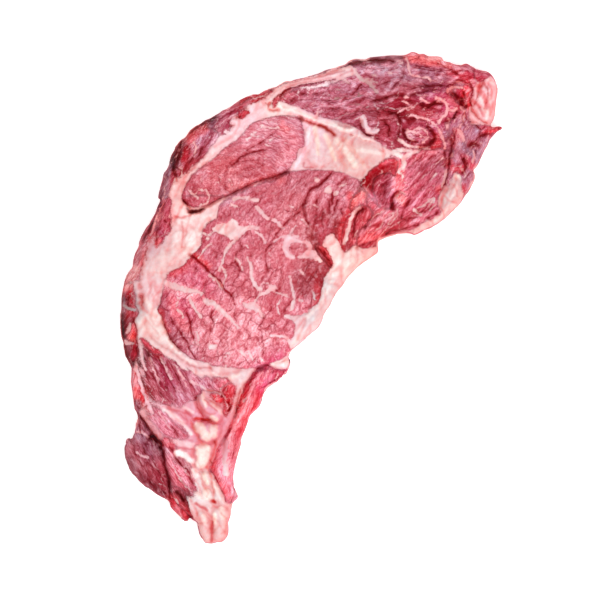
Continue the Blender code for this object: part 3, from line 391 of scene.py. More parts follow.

# Cracks, crevices and holes: half width in squares, depth in mm, darkness, path. The darkness is partly painted shade
# in the crevices, and black in the deepest holes is painted shadow.
CRACKS = (
    # eye
    (1.2, 1.1, 0.85, "190,255 196,259 201,263 205,267 208,271 212,274 217,278 221,283 224,289 229,293 232,296"),
    (1.1, 1.3, 0.75, "331,174 327,178 323,182 318,186 312,188 309,192 307,197 305,202 303,207 304,212 306,220 309,223"),
    (0.7, 0.7, 0.50, "345,178 341,181 337,185"),
    (0.8, 0.7, 0.55, "290,172 288,178 286,184"),
    (0.7, 0.6, 0.50, "277,178 275,181 272,185"),
    (0.7, 0.5, 0.40, "300,180 294,184 287,190"),
    (0.8, 0.6, 0.45, "320,174 313,179 305,185"),
    (0.9, 0.8, 0.60, "300,211 293,217 286,223 281,228 277,233 273,240 269,246 266,251 266,258 266,265 268,270 265,275 261,281"),
    (0.7, 0.5, 0.45, "266,251 263,248 260,246"),
    (0.7, 0.5, 0.45, "266,251 261,254 257,257"),
    (0.8, 0.7, 0.60, "237,240 242,246 240,251 237,254 235,260 238,266 240,270 238,276 235,281 232,287 231,293"),
    (0.6, 0.5, 0.45, "235,261 230,265 225,269 221,274 218,279"),
    (0.6, 0.4, 0.40, "246,262 243,267 240,272"),
    (0.7, 0.5, 0.50, "282,270 281,277 279,284 277,291"),
    (0.7, 0.5, 0.40, "273,226 271,232"),
    (0.7, 0.5, 0.45, "259,291 256,296 252,303"),
    (0.6, 0.4, 0.35, "250,212 245,216 240,221"),
    (0.6, 0.4, 0.40, "229,211 227,216 224,218 217,217"),
    (0.8, 0.6, 0.60, "233,293 234,300 235,308 235,316 238,324"),
    (0.7, 0.5, 0.50, "183,297 182,304 184,310 185,315"),
    (0.9, 0.8, 0.75, "187,313 189,319 191,324 191,330 193,336 195,344"),
    (0.8, 0.6, 0.60, "171,317 174,324 178,329 176,341"),
    (0.9, 0.8, 0.75, "180,330 184,338 187,341 190,349 193,355 196,359"),
    (0.8, 0.6, 0.60, "212,310 211,317 213,321 211,327 210,333 209,340 206,345 203,349 202,354"),
    (0.6, 0.5, 0.50, "218,312 215,317 213,321"),
    (0.7, 0.5, 0.50, "204,321 206,326 208,330 204,335 200,341"),
    (0.7, 0.5, 0.50, "224,332 220,338 222,342 223,347"),
    (0.7, 0.5, 0.50, "240,331 237,338 233,341 232,346"),
    (0.7, 0.5, 0.50, "245,329 250,334 248,339 245,344 246,349"),
    (0.8, 0.6, 0.55, "263,317 262,323 258,328 262,331 262,337 263,344 263,351 261,358"),
    (0.6, 0.4, 0.45, "247,316 245,321 243,328"),
    (0.6, 0.5, 0.50, "222,352 223,359 224,363 227,367"),
    (0.6, 0.5, 0.45, "207,277 205,285 203,293"),
    (0.7, 0.5, 0.50, "262,299 261,308 263,315 265,320"),
    (0.6, 0.4, 0.45, "271,321 276,325 281,330"),
    (0.6, 0.4, 0.45, "257,326 264,328 271,330"),
    (0.6, 0.4, 0.45, "249,339 256,338 263,336"),
    (1.0, 1.0, 0.80, "162,318 166,330 170,338 174,343 179,348"),
    (1.4, 1.0, 0.50, "332,193 332,205"), (1.2, 0.9, 0.45, "329,201 329,213"), (1.0, 0.8, 0.45, "317,199 316,210 315,223"),
    (1.1, 0.8, 0.45, "337,200 335,207 334,213"), (1.0, 0.8, 0.45, "341,209 342,214"), (0.8, 0.6, 0.45, "323,212 322,222 324,232"),
    (0.7, 0.5, 0.40, "295,192 290,200 288,210"), (0.7, 0.5, 0.35, "281,192 277,200 278,210"), (0.6, 0.4, 0.35, "262,196 258,204"),
    (0.6, 0.4, 0.35, "328,222 326,230"), (0.8, 0.6, 0.40, "309,223 306,230 308,238"), (0.7, 0.5, 0.40, "299,229 302,236"),
    (0.6, 0.4, 0.40, "278,300 282,308 280,318"), (0.6, 0.4, 0.40, "249,238 252,247 250,256"), (0.6, 0.4, 0.35, "212,250 217,256 216,266"),
    (0.6, 0.4, 0.40, "196,268 192,276 193,286"), (0.6, 0.4, 0.40, "176,277 174,285 176,293"), (0.7, 0.5, 0.40, "222,295 219,301"),
    (0.6, 0.4, 0.40, "281,330 276,338 277,347"), (0.6, 0.4, 0.40, "270,345 272,352 270,358"), (0.6, 0.4, 0.35, "213,297 208,306"),
    (0.6, 0.4, 0.40, "303,281 301,290 304,298"), (0.6, 0.4, 0.40, "311,276 309,284"), (0.6, 0.4, 0.35, "292,262 288,269 290,276"),
    # complexus
    (1.0, 1.0, 0.75, "232,166 236,162 240,158 244,156 250,153 258,151 265,150.5"),
    (0.7, 0.6, 0.55, "241,162 246,161 252,160 259,160.5"),
    (0.8, 0.7, 0.50, "226,191 225,180 227,170 232,162"),
    (0.8, 0.6, 0.50, "247,150 255,146 262,142 270,136 276,131 281,128"),
    (1.0, 1.4, 0.90, "184,201 187,205 190,208"),
    # painted shadow: the black crescent of the hole under the complexus edge
    (1.0, 2.6, 1.00, "190,211.5 194,212 198,211.5 202,210"),
    # painted shade: the dark line under the overhanging lower edge of the complexus
    (0.7, 1.8, 0.85, "289,171 280,175 270,178 258,181.5 248,186 240,190 230,195 220,199 213,203 203,208"),
    (0.6, 0.4, 0.35, "283,160 279,154 274,150 267,147"), (0.6, 0.4, 0.35, "276,169 272,163 266,159 258,158"),
    (0.6, 0.4, 0.35, "289,150 286,141 279,136"), (0.6, 0.4, 0.35, "212,170 212,182 209,192"), (0.6, 0.4, 0.35, "200,176 200,186"),
    (0.6, 0.4, 0.35, "218,172 220,184 218,194"), (0.5, 0.4, 0.35, "238,172 246,168 256,167"), (0.5, 0.4, 0.30, "240,180 250,175 260,174"),
    # pad and cap edge
    (1.1, 3.4, 1.00, "300.5,118.5 302,120"),
    (0.5, 1.0, 0.80, "306,121 312,123.5 317,124.5"), (0.75, 1.6, 0.95, "319,125.4 322,126.6 325,127.8 329,130.3 332,132.8 334.5,135.6"),
    (0.6, 0.9, 0.65, "350,134.5 357,137.5 364,140.5 371,142"),
    (0.8, 1.6, 0.95, "270.5,102.5 268.8,106 269.5,109.5 273,111 278,110.8"),
    (1.1, 1.0, 0.65, "280,97 284,92 291,88"),
    (0.9, 0.8, 0.60, "283,92 290,89 300,86 307,84.5"),
    (0.9, 0.8, 0.45, "310,84 319,82.5 328,81 336,79.5"),
    # cap fibres and folds
    (0.8, 0.9, 0.85, "350,65 358,62.5 370,61.5 380,61 393,61.5"),
    (1.2, 1.0, 0.55, "361,85 357,89 353,95"), (1.0, 0.9, 0.50, "398,82 395,85 391,89"), (1.0, 0.9, 0.50, "404,74 402,77 400,81"),
    (0.9, 0.8, 0.45, "345,98 341,104"), (0.8, 0.6, 0.40, "332,90 341,88 350,88"), (0.8, 0.6, 0.45, "300,94 310,95 320,93 330,94"),
    (0.8, 0.6, 0.45, "290,99 302,100 314,99 326,101 338,100"), (0.7, 0.6, 0.40, "306,106 318,107 330,110 342,109"),
    (0.8, 0.6, 0.40, "350,104 360,100 371,96 382,92"), (0.8, 0.6, 0.40, "344,112 354,112 362,108 371,107"),
    (0.7, 0.5, 0.40, "365,68 376,70 388,68"), (0.7, 0.5, 0.40, "364,74 372,78 384,79 396,77"), (0.8, 0.6, 0.45, "378,86 388,82 398,84"),
    (0.9, 0.6, 0.35, "404,60 404,66 403,73"), (0.9, 1.2, 0.70, "370,101.5 380,100 388,97 396,96 403,96"),
    (1.0, 1.2, 0.70, "411,95.5 418,93.5 425,92 430,90"), (0.9, 0.8, 0.50, "430,90 438,90 446,92"),
    (0.9, 0.8, 0.45, "412,89 424,86 436,85 446,87"), (0.8, 0.6, 0.50, "415,66 427,68 439,70 450,71"),
    (0.7, 0.6, 0.45, "430,77 440,76 451,76"), (0.8, 0.6, 0.45, "452,72 460,75 468,79"), (0.9, 0.7, 0.50, "456,80 464,82 471,86"),
    # the first of these is painted shadow on the left of the white curl of fat
    (1.0, 1.4, 0.70, "360,121 360.5,126 361.5,130 365,134 370,135"), (0.8, 0.6, 0.50, "380,108 386,112 396,114"),
    (1.5, 1.0, 0.55, "398,116 400,124 399,132 397,140"), (1.2, 0.9, 0.50, "384,122 389,128 388,137"), (1.0, 0.8, 0.45, "375,138 384,142 394,143"),
    (1.7, 1.7, 0.75, "428,127 432,132 434,137 431,143 425,147 420,148"),
    (1.2, 1.3, 0.70, "403,130 404,135 407,140 412,142 417,142"), (0.9, 0.8, 0.60, "410,119.5 416,119 424,120.5 428,125"),
    (0.7, 0.5, 0.45, "410,133 413,136 419,137 423,134"),
    (1.8, 1.4, 0.70, "421,104 427,106.5 434,103 441,104"), (1.0, 0.9, 0.60, "421,108 431,109 440,110"),
    (1.2, 1.4, 0.70, "457,112 454,117 449,120 445,122"), (1.8, 2.6, 0.80, "452,94 456,96 458,99 461,102"),
    (2.0, 4.0, 1.00, "461,100 462.5,104 465,106.5"), (1.2, 2.0, 0.90, "463,93 464.5,98"), (1.1, 1.2, 0.75, "470,101 471,106 471,111"),
    (0.9, 0.9, 0.55, "464,112 466,119 471,122 477,123"),
    (1.2, 1.0, 0.75, "426,87 436,86.5 446,86 454,84"), (0.8, 0.8, 0.65, "412,67.5 420,69 428,71 438,71.5 448,74"), (0.7, 0.7, 0.55, "418,73.5 430,74 440,76 450,80"),
    (0.9, 0.9, 0.65, "437,64 446,68 455,72 461,78"), (1.0, 1.2, 0.75, "452,86 456,82 462,82"), (1.1, 1.4, 0.75, "470,84 472,90 471,98"),
    (0.9, 1.0, 0.65, "478,92 476,100 473,106"), (0.7, 0.8, 0.55, "484,80 480,88 478,96"), (0.8, 0.8, 0.60, "486,86 488,94 486,104"), (1.0, 1.2, 0.75, "472,110 476,116 482,121 488,124"),
    (0.9, 1.0, 0.70, "464,112 462,118 464,126"), (1.0, 1.0, 0.70, "476,126 480,130 479,136 475,141"), (0.9, 1.0, 0.70, "444,152 446,160 444,168"),
    # lower cap and cup
    (1.0, 1.3, 0.75, "451,139 451.5,146 450.5,154 449,160 448,168 447,176 445,183 442,189"),
    (1.6, 2.4, 0.95, "392,208 391.5,203 392,199 395,194.5 399,192"),
    (1.0, 1.0, 0.60, "410,199 406,206 402,213 401,219"), (1.0, 1.0, 0.70, "417,211 420,213 423,211"),
    (1.0, 0.9, 0.65, "424,212 428,209 433,206"), (0.9, 0.8, 0.60, "427,219 432,216 437,213"),
    (1.0, 0.9, 0.70, "386,234 392,231 400,229.5 410,227 419,224"), (0.8, 0.7, 0.45, "408,168 414,163 420,158"),
    (0.8, 0.7, 0.45, "410,178 418,171 426,164"), (0.8, 0.7, 0.45, "407,190 417,181 427,171"), (0.7, 0.6, 0.45, "414,195 425,184 435,172"),
    (0.7, 0.6, 0.45, "420,200 431,190 440,178"), (0.7, 0.6, 0.40, "428,160 436,154 443,152"), (0.7, 0.6, 0.40, "380,214 374,218 366,220"),
    (0.7, 0.6, 0.40, "384,222 376,225 364,227"), (0.7, 0.6, 0.40, "390,212 396,205 404,200"), (0.8, 0.6, 0.40, "398,222 406,219 416,218"),
    # eye to cap
    # painted shadow: the dark hole under the fat lip between the eye and the cap
    (1.3, 2.4, 0.90, "362.5,209.5 359,211.5 356.5,214"), (0.7, 1.8, 0.80, "356.5,214 355,219 354,225 353.5,231 354,237"),
    (0.9, 1.0, 0.65, "357,247 362,245 370,242.5 378,239.5"), (1.1, 1.2, 0.60, "318,249 323,254 328,261 330.5,265.5"),
    # right end
    (1.1, 1.3, 0.75, "453,132 454,138 452.5,144"), (1.3, 1.6, 0.85, "470,146 474,144 478,146"), (1.2, 1.4, 0.80, "480,137 484,135 489,134"),
    (0.9, 0.9, 0.60, "479,134 481,130 485,127"), (1.4, 2.4, 0.90, "463,160 465.5,164 464.5,169 462,173"), (0.8, 0.7, 0.50, "457,151 461,155 466,153"),
    (0.9, 0.8, 0.55, "469,172 466,177 462,180"), (0.8, 0.6, 0.45, "476,150 474,158 475,164"),
    # trim
    (1.0, 0.9, 0.70, "197,151 193,158 189,163"), (1.0, 0.7, 0.50, "201,149 200,154 197,159"), (1.3, 1.0, 0.50, "237,118 240,117"),
    (1.3, 1.0, 0.50, "231,126 234,125"), (1.3, 1.2, 0.70, "177.5,168 179,169"), (1.3, 1.2, 0.65, "181,170.5 182,170.5"),
    (0.9, 0.6, 0.40, "187,146 190,152 188,160"), (0.7, 0.5, 0.35, "204,136 205,144 203,151"), (0.8, 0.6, 0.40, "218,121 226,116 235,111"),
    (1.0, 0.8, 0.55, "264.5,98 266,99"), (0.9, 0.8, 0.55, "265,103 266.5,104"), (1.0, 0.8, 0.50, "165,221 168,223"), (1.0, 0.8, 0.45, "170,224 171,226"),
    (0.9, 0.8, 0.55, "158,228 156.5,236 157,244"),
    # walls
    (1.6, 0.8, 0.85, "200,123 206,120 213,117.5"), (2.2, 0.8, 0.60, "205,121.5 197,127 190,133"), (1.3, 0.9, 0.60, "181.5,143 179,151 178,160"),
    (1.5, 0.9, 0.75, "174,167 175,173 176.5,181"), (1.0, 0.6, 0.70, "165,203 161,209 157,215"), (1.6, 0.8, 0.60, "152,224 149,231 145,238"),
    (1.0, 0.7, 0.50, "148,248 146,254 147,260"), (0.8, 0.8, 0.50, "143,263 141,271 140,281"), (1.0, 1.0, 0.60, "139.5,283 140,287"),
    (1.3, 1.0, 0.55, "141,296 143,301 142,306"), (1.6, 0.6, 0.70, "122,296 121.5,310 122,325 123,338"), (1.2, 0.8, 0.60, "134,318 135,324 137,331"),
    (1.2, 0.8, 0.60, "137,336 138,344 136,352"), (1.6, 0.8, 0.65, "124,345 126,352 128,358"), (1.0, 1.0, 0.70, "129,297 128,303 130,306"),
    # tail
    (0.9, 1.2, 0.80, "207,390 211,390.5 216,391 222,392"), (0.9, 1.2, 0.85, "225,388 223,392 222,397"),
    (1.0, 1.4, 0.75, "196,397 196.5,402 198,407 201,413 204,418"), (1.4, 2.4, 0.90, "203,419 206,419.5 210,419.5"),
    (1.3, 1.3, 0.75, "228,402 231,406 228,411"), (0.9, 1.4, 0.80, "169,447 173,453 176,458 180,463 184,467 189,472 191,479 193,483"),
    (0.9, 0.8, 0.55, "148,352 151,362 156,372 160,384"), (0.9, 0.8, 0.55, "158,356 164,368 170,380 176,392"),
    (0.9, 0.8, 0.55, "168,361 175,372 181,384 186,394"), (0.9, 0.7, 0.50, "152,372 157,384 162,396"), (0.8, 0.7, 0.50, "182,372 189,382 196,390"),
    (0.8, 0.7, 0.45, "196,377 203,383 211,386"), (0.8, 0.6, 0.45, "165,386 170,396 176,403"), (0.7, 0.6, 0.40, "161,413 168,423 176,431"),
    (0.9, 0.8, 0.50, "131,368 132,380 133,394"), (1.2, 0.7, 0.45, "134,400 137,406 141,410"), (0.8, 0.7, 0.50, "140,372 144,386 148,398"),
    (0.9, 1.2, 0.60, "213.5,501 215,502.5"), (0.7, 0.5, 0.40, "168,452 174,462 180,474"), (0.7, 0.5, 0.40, "176,478 184,484 191,492"),
    (0.8, 0.8, 0.45, "222,392 228,398 230,404"),
    # flap
    (2.6, 2.6, 1.00, "151,437 155,437 158,440.5 162,444 161,448"), (1.6, 1.4, 0.75, "138,414 145,422 150,430 153,436"),
    # painted shade: both of these, along the body's edge over the flap and in a crevice of the flap
    (1.4, 1.4, 0.75, "163,451 164.5,462 166,471 169,480 169,488 170,499"), (1.4, 1.6, 0.75, "176,492 180,495 183,500"),
    (1.0, 0.9, 0.60, "189,516 193,519 197,522"), (0.9, 0.7, 0.45, "139,424 141,434 146,444"), (0.9, 0.7, 0.45, "132,444 136,456 143,468"),
    (0.9, 0.7, 0.45, "143,448 148,460 155,472"), (0.9, 0.7, 0.45, "151,456 156,468 162,480"), (0.9, 0.6, 0.40, "150,482 158,488 166,494"),
    # strip
    (1.1, 1.0, 0.60, "257,369.5 262,367.5 268,365.5"), (0.8, 0.8, 0.50, "276,363 284,360"), (1.2, 0.8, 0.60, "284,372 277,379 269,383 262,388"),
    (0.9, 0.7, 0.60, "241,389 238,400 236,410 234,418"), (0.8, 0.6, 0.50, "231,429 228,434 225,438"), (0.8, 0.6, 0.40, "250,386 246,397 243,409"),
    (0.8, 0.6, 0.40, "256,382 252,392 249,402"), (1.0, 0.8, 0.50, "214,441 216,445"), (1.0, 0.8, 0.55, "210,460 212,463"),
    (1.0, 0.9, 0.55, "210,470 214,475 218,483 222,492 226,501"), (0.8, 0.6, 0.45, "236,444 233,456 231,470"), (0.7, 0.5, 0.40, "228,486 230,494 231,501"),
)

# Places where a muscle is a different colour, with a few of painted shade and painted light: spread in squares,
# strength, colour, path.
STAINS = (
    (2.4, 0.95, (40, 8, 16), "314,73.5 322,71.5 332,68 341,65 349,62"), (1.6, 0.85, (74, 18, 30), "270,88.5 280,84.5 292,80 304,76.5 314,73.5"),
    (4.6, 0.90, (104, 22, 40), "349,62 358,60.5 370,59.5 384,58.5 400,58"), (2.2, 0.85, (60, 14, 26), "366,56.5 380,55.5 396,55.5"),
    (2.4, 0.85, (112, 26, 42), "246,96.5 236,101.5 226,107 216,113"), (3.4, 0.97, (46, 6, 14), "216,114 209,117.5 202,120.5 195,125 189,131"),
    (3.6, 0.80, (128, 24, 40), "206,124 198,128 190,134 186,138"), (4.2, 0.97, (70, 10, 22), "184,137 180,143 177,150 175,158 174,166"),
    (3.0, 0.90, (112, 20, 34), "182,143 181,150 179,158 178,166"), (3.6, 0.92, (62, 14, 26), "172,158 168,166 165,175 162,184 160,193"),
    (2.6, 0.75, (150, 104, 122), "170,168 168,176 167,186 166,196"), (3.4, 0.85, (84, 26, 44), "160,196 158,204 155,210"),
    (3.8, 0.92, (104, 24, 44), "153,216 149,223 145,230 141,236"), (4.6, 0.80, (150, 92, 108), "148,238 144,246 140,254 136,262"),
    (5.5, 0.90, (126, 24, 40), "128,288 125,298 123,310 122,322 123,334"), (3.6, 0.92, (62, 8, 20), "121.5,300 120.5,312 120.5,324 121.5,334"),
    (4.5, 0.80, (140, 26, 40), "131,314 132,322 132,332"), (3.2, 0.75, (196, 52, 60), "134,328 134,336"), (4.5, 0.85, (118, 24, 40), "126,346 128,352 131,358"),
    (4.5, 0.60, (246, 194, 200), "165,284 174,288 184,291 196,293"), (3.5, 0.55, (246, 192, 198), "192,299 196,305 200,311"),
    (4.5, 0.50, (246, 188, 196), "243,300 252,304 262,312"), (5.0, 0.45, (246, 184, 194), "222,228 235,226 250,227"),
    (4.0, 0.45, (246, 184, 192), "204,301 216,306 228,316"), (4.0, 0.40, (246, 184, 192), "270,337 284,340"), (4.0, 0.40, (246, 184, 192), "284,244 294,240"),
    (3.4, 0.75, (214, 60, 66), "195,256 201,261 207,266"), (3.0, 0.60, (206, 66, 78), "317,288 318,297 316,303"),
    (7.0, 0.55, (186, 74, 92), "315,216 324,228 326,240"), (6.0, 0.55, (176, 96, 108), "300,276 307,287 311,297"),
    (7.0, 0.45, (190, 88, 104), "312,196 326,205 340,202"), (3.0, 0.70, (214, 54, 64), "350,195 351,207 347,215 343,225 341,235 341,249"),
    (3.5, 0.60, (222, 70, 76), "323,249 327,256 330,262"), (5.0, 0.45, (238, 122, 124), "234,190 248,186 262,183 278,179"),
    (3.4, 0.55, (220, 78, 82), "280,125 285,129"), (4.0, 0.50, (214, 150, 164), "262,131 270,133"), (3.4, 0.50, (214, 150, 164), "268,124 277,123"),
    (8.0, 0.35, (240, 150, 158), "288,134 292,146 284,158"), (3.4, 0.80, (206, 56, 62), "274,106 275,100 281,96 287,92"),
    (2.6, 0.70, (206, 60, 70), "240,118 246,114 250,112"), (3.0, 0.70, (176, 40, 50), "241,102 248,98.5 256,96.5 263,94"),
    (2.6, 0.50, (206, 160, 176), "227,132 231,136"), (2.4, 0.45, (206, 160, 176), "194,143 196,155"),
    (4.0, 0.75, (124, 52, 62), "313,76 325,71.5 340,67 352,61 366,59.5 380,58.5 394,59"), (3.4, 0.30, (188, 140, 152), "393,60 401,62 401,68"),
    (2.8, 0.45, (128, 48, 60), "404,61 404,72"), (4.4, 0.75, (238, 112, 112), "410,57 419,59 430,61 442,63 455,66"),
    (2.4, 0.70, (250, 188, 186), "430,58 442,58"), (5.0, 0.50, (188, 126, 148), "412,74 424,75 438,74 449,75"),
    (4.0, 0.55, (140, 62, 84), "412,88 424,86 438,86 446,88"), (5.0, 0.60, (206, 58, 70), "452,72 460,76 466,80 472,84"),
    (6.0, 0.65, (146, 40, 60), "398,112 400,124 398,138"), (4.5, 0.60, (190, 86, 106), "384,116 388,128 386,138"), (4.0, 0.60, (150, 34, 50), "376,99 386,97 396,97 404,98"), (3.4, 0.50, (170, 50, 70), "350,106 360,103 368,104"),
    (4.0, 0.50, (178, 128, 144), "371,110 373,120"), (3.4, 0.75, (206, 44, 54), "436,136 437,143 433,150"),
    (4.5, 0.50, (216, 106, 118), "412,110 422,112 434,116"), (4.0, 0.50, (186, 50, 66), "430,105 438,106"),
    (5.0, 0.60, (188, 74, 92), "412,131 419,133 422,138"), (5.0, 0.55, (160, 40, 56), "452,94 457,98"), (4.0, 0.70, (220, 52, 56), "466,92 467,99 468,106"),
    (4.5, 0.45, (226, 120, 136), "450,100 455,106 452,112"), (6.0, 0.60, (196, 134, 158), "466,126 469,133 473,140"),
    (5.0, 0.45, (190, 128, 150), "456,120 461,127"), (3.0, 0.70, (196, 30, 44), "452,137 453,144"), (3.0, 0.60, (214, 80, 80), "457,132 461,138"),
    (3.6, 0.75, (166, 20, 36), "470,145 478,145"), (3.6, 0.75, (168, 20, 38), "481,137 489,133"), (4.5, 0.60, (206, 46, 66), "483,128 490,130"),
    (3.2, 0.85, (232, 64, 76), "491,130 497,129 502,128"), (4.0, 0.55, (180, 118, 140), "483,141 488,140"), (4.0, 0.70, (200, 24, 44), "466,160 470,165 473,168"),
    (5.0, 0.50, (176, 56, 80), "461,160 460,166"), (4.5, 0.50, (190, 130, 150), "468,176 468,183"), (3.4, 0.65, (214, 66, 76), "462,188 465,194 463,199"),
    (4.0, 0.70, (204, 36, 50), "449,163 452,168 460,170"), (3.6, 0.60, (226, 92, 96), "440,190 446,190"), (5.0, 0.35, (214, 120, 136), "455,150 460,158"),
    # painted shade on the cup's left wall (first here and last on the next line), and painted light on its right edge
    # (third here)
    (5.5, 0.95, (136, 14, 28), "364,188 366,178 371,171 378,167"), (3.6, 0.65, (208, 62, 74), "381,163 388,160.5 396,161"), (4.0, 0.75, (242, 112, 116), "398,166 399,176 398,186"),
    (4.0, 0.80, (190, 40, 54), "384,170 391,169 395,173"), (5.5, 0.70, (176, 64, 88), "381,184 386,191 388,199"), (6.5, 0.80, (160, 12, 28), "369,184 372,177 378,172"),
    (3.6, 0.75, (242, 132, 132), "399,198 403,201"), (3.0, 0.50, (236, 150, 158), "365,191 363,200"), (5.5, 0.75, (240, 112, 116), "357,238 366,237 376,235"),
    (5.0, 0.45, (226, 104, 112), "398,186 406,190"), (7.0, 0.40, (224, 90, 98), "410,154 424,153 440,153"),
    # the first of these is painted shade beside the hole between the eye and the cap
    (5.0, 0.60, (176, 40, 58), "355,214 352,224 351,236"), (3.2, 0.70, (238, 130, 128), "353,204 358,197 363,196"),
    (4.0, 0.75, (206, 60, 62), "125,287 131,286 133,289"), (4.0, 0.60, (196, 46, 58), "131,294 133,301 133,306"), (3.4, 0.70, (176, 14, 32), "130,312 136,313"),
    (3.0, 0.65, (226, 60, 66), "134,329 135,335"), (3.0, 0.60, (226, 90, 84), "131,335 133,339"), (3.4, 0.60, (176, 30, 48), "136,346 135,356"),
    (3.6, 0.60, (180, 144, 152), "137,284 137,296 139,308"), (3.0, 0.70, (214, 148, 150), "136,321 138,328 140,334"), (3.4, 0.60, (176, 124, 134), "127,306 124,309"),
    (5.0, 0.75, (214, 146, 142), "136,270 131,277 126,283"), (4.5, 0.65, (190, 126, 132), "145,242 143,252 140,262"), (3.0, 0.60, (214, 84, 84), "147,249 146,257"),
    (2.6, 0.60, (222, 96, 96), "143,264 148,268"), (5.0, 0.60, (226, 116, 116), "151,234 155,242 154,252"), (3.4, 0.70, (120, 44, 58), "152,224 147,232 143,239"),
    (2.4, 0.70, (170, 134, 146), "163,175 166,184 164,197"), (2.6, 0.75, (110, 34, 50), "164,173 163,186 160,196"), (2.4, 0.70, (116, 20, 32), "180,145 178,158"),
    (4.0, 0.60, (232, 104, 104), "205,129 196,134 190,140"), (3.4, 0.75, (236, 92, 96), "133,372 134,384 136,396"), (3.0, 0.75, (214, 34, 46), "142,390 145,398 146,404"),
    (3.4, 0.60, (160, 110, 128), "136,404 140,411"), (3.0, 0.60, (196, 128, 122), "144,407 147,418"), (2.4, 0.60, (150, 110, 118), "131,370 132,384"),
    (2.4, 0.6, (222, 44, 54), "209,396 214,398"), (3.0, 0.70, (214, 44, 54), "216,398 221,402"), (4.0, 0.70, (206, 60, 74), "229,388 231,396"),
    (4.0, 0.60, (208, 70, 82), "165,442 172,444"), (4.5, 0.80, (184, 140, 150), "178,459 184,463 189,468"), (4.0, 0.55, (176, 142, 164), "137,434 141,438"),
    (4.0, 0.45, (176, 100, 124), "140,452 145,458"), (5.0, 0.70, (108, 30, 44), "128,462 136,474 148,486 160,495"), (7.0, 0.90, (190, 38, 52), "174,502 179,510 186,517"),
    (2.6, 0.65, (116, 14, 24), "178,493 182,499"), (3.6, 0.75, (178, 66, 96), "283,372 276,378 270,382"), (5.0, 0.50, (226, 118, 140), "272,374 279,371"),
    (3.5, 0.65, (236, 60, 68), "216,444 214,456 211,466"), (3.0, 0.65, (222, 70, 80), "214,470 218,480 224,494"), (4.0, 0.50, (240, 150, 156), "233,446 232,462 231,476"),
    (4.0, 0.55, (232, 96, 108), "225,484 228,494 231,503"), (2.6, 0.60, (206, 140, 156), "236,495 236,499"), (4.0, 0.45, (236, 90, 104), "246,396 240,412 236,424"),
    (3.0, 0.50, (248, 140, 150), "252,400 247,412 243,424"), (3.0, 0.45, (200, 40, 60), "254,374 250,384 246,394"), (3.0, 0.60, (200, 50, 60), "174,273 184,268 190,261"),
    (2.6, 0.80, (240, 178, 190), "396,213 391,217 385,221"), (3.2, 0.70, (196, 132, 150), "222,203 236,196.5 248,190.8 262,185.5 274,181.5"), (4.0, 0.85, (206, 82, 98), "142,340 150,346 160,353"), (1.8, 0.75, (255, 176, 186), "262,373 256,381 251,391 247,402"), (1.6, 0.70, (255, 180, 190), "245,404 241,416 237,428"),
    (2.0, 0.75, (255, 190, 200), "238,416 235,426 231,436 228,444"), (1.5, 0.60, (255, 170, 182), "270,371 264,377 260,384"),
    (2.4, 0.60, (214, 74, 82), "160,312 164,322 168,331"), (4.0, 0.35, (240, 134, 136), "172,300 178,316 188,330"),
)

# Slow colour of the muscles and of the fat over the face: column, row, colour.
LEAN_TINTS = (
    (218, 330, 224, 159, 169), (250, 340, 233, 174, 184), (275, 320, 208, 121, 135), (190, 300, 207, 102, 126), (250, 215, 201, 119, 134),
    (307, 287, 148, 20, 32), (319, 232, 146, 29, 32), (300, 225, 209, 129, 139), (345, 190, 205, 131, 145), (280, 270, 211, 130, 142),
    (300, 305, 210, 128, 142), (257, 171, 193, 99, 111), (286, 147, 200, 133, 150), (250, 135, 216, 146, 160), (225, 165, 211, 117, 126),
    (325, 100, 182, 108, 128), (386, 79, 183, 135, 153), (355, 90, 181, 113, 134), (427, 76, 139, 93, 114), (400, 105, 149, 4, 35),
    (440, 105, 182, 63, 97), (375, 220, 195, 69, 80), (430, 60, 178, 73, 95), (470, 134, 161, 120, 141), (460, 100, 193, 32, 62),
    (229, 118, 161, 47, 76), (202, 132, 199, 146, 172), (165, 222, 178, 68, 85), (128, 300, 76, 13, 37), (125, 320, 41, 1, 1),
    (129, 352, 64, 1, 2), (148, 232, 140, 64, 100), (205, 120, 64, 1, 1), (178, 150, 166, 2, 23), (142, 253, 238, 22, 16),
    (132, 276, 199, 149, 160), (166, 377, 160, 47, 76), (190, 385, 192, 122, 142), (137, 389, 151, 55, 60), (170, 425, 215, 143, 163),
    (175, 470, 239, 145, 165), (148, 448, 125, 50, 70), (160, 480, 136, 11, 36), (132, 458, 179, 105, 117), (179, 511, 95, 11, 19),
    (244, 405, 213, 33, 53), (275, 375, 211, 80, 123), (226, 490, 239, 174, 195), (385, 190, 223, 133, 158), (245, 98, 173, 2, 17),
)
FAT_TINTS = (
    (309, 252, 237, 181, 187),
    (362, 153, 231, 188, 187), (278, 111, 248, 216, 217), (310, 116, 242, 197, 210), (188, 235, 246, 223, 223), (165, 262, 235, 196, 196),
    (152, 295, 238, 196, 202), (150, 325, 242, 213, 211), (177, 192, 240, 192, 191), (245, 112, 250, 216, 225), (329, 292, 217, 206, 212),
    (352, 255, 243, 200, 198), (330, 260, 262, 225, 221), (452, 201, 225, 192, 194), (295, 245, 240, 195, 205), (350, 100, 143, 96, 87),
    (320, 82, 264, 241, 248), (342, 72, 239, 197, 203), (487, 84, 244, 206, 216), (203, 431, 229, 157, 179), (203, 452, 230, 172, 184),
    (205, 480, 233, 226, 230), (220, 526, 231, 187, 190), (277, 364, 252, 228, 237), (235, 378, 235, 204, 209), (150, 245, 215, 182, 192),
    (155, 210, 260, 177, 183), (142, 385, 248, 204, 215), (420, 118, 257, 199, 206), (440, 140, 241, 168, 173), (404, 160, 251, 226, 226),
    (370, 125, 239, 210, 220), (130, 308, 169, 166, 171), (130, 343, 225, 189, 195), (460, 90, 242, 172, 176),
)

# ------------------------------------------------------------------ fields over the plan sheet
NX, NY = (C1 - C0) * FINE + 1, (R1 - R0) * FINE + 1
CC, RR = np.meshgrid(C0 + np.arange(NX) / FINE, R0 + np.arange(NY) / FINE)
TABLES = {}


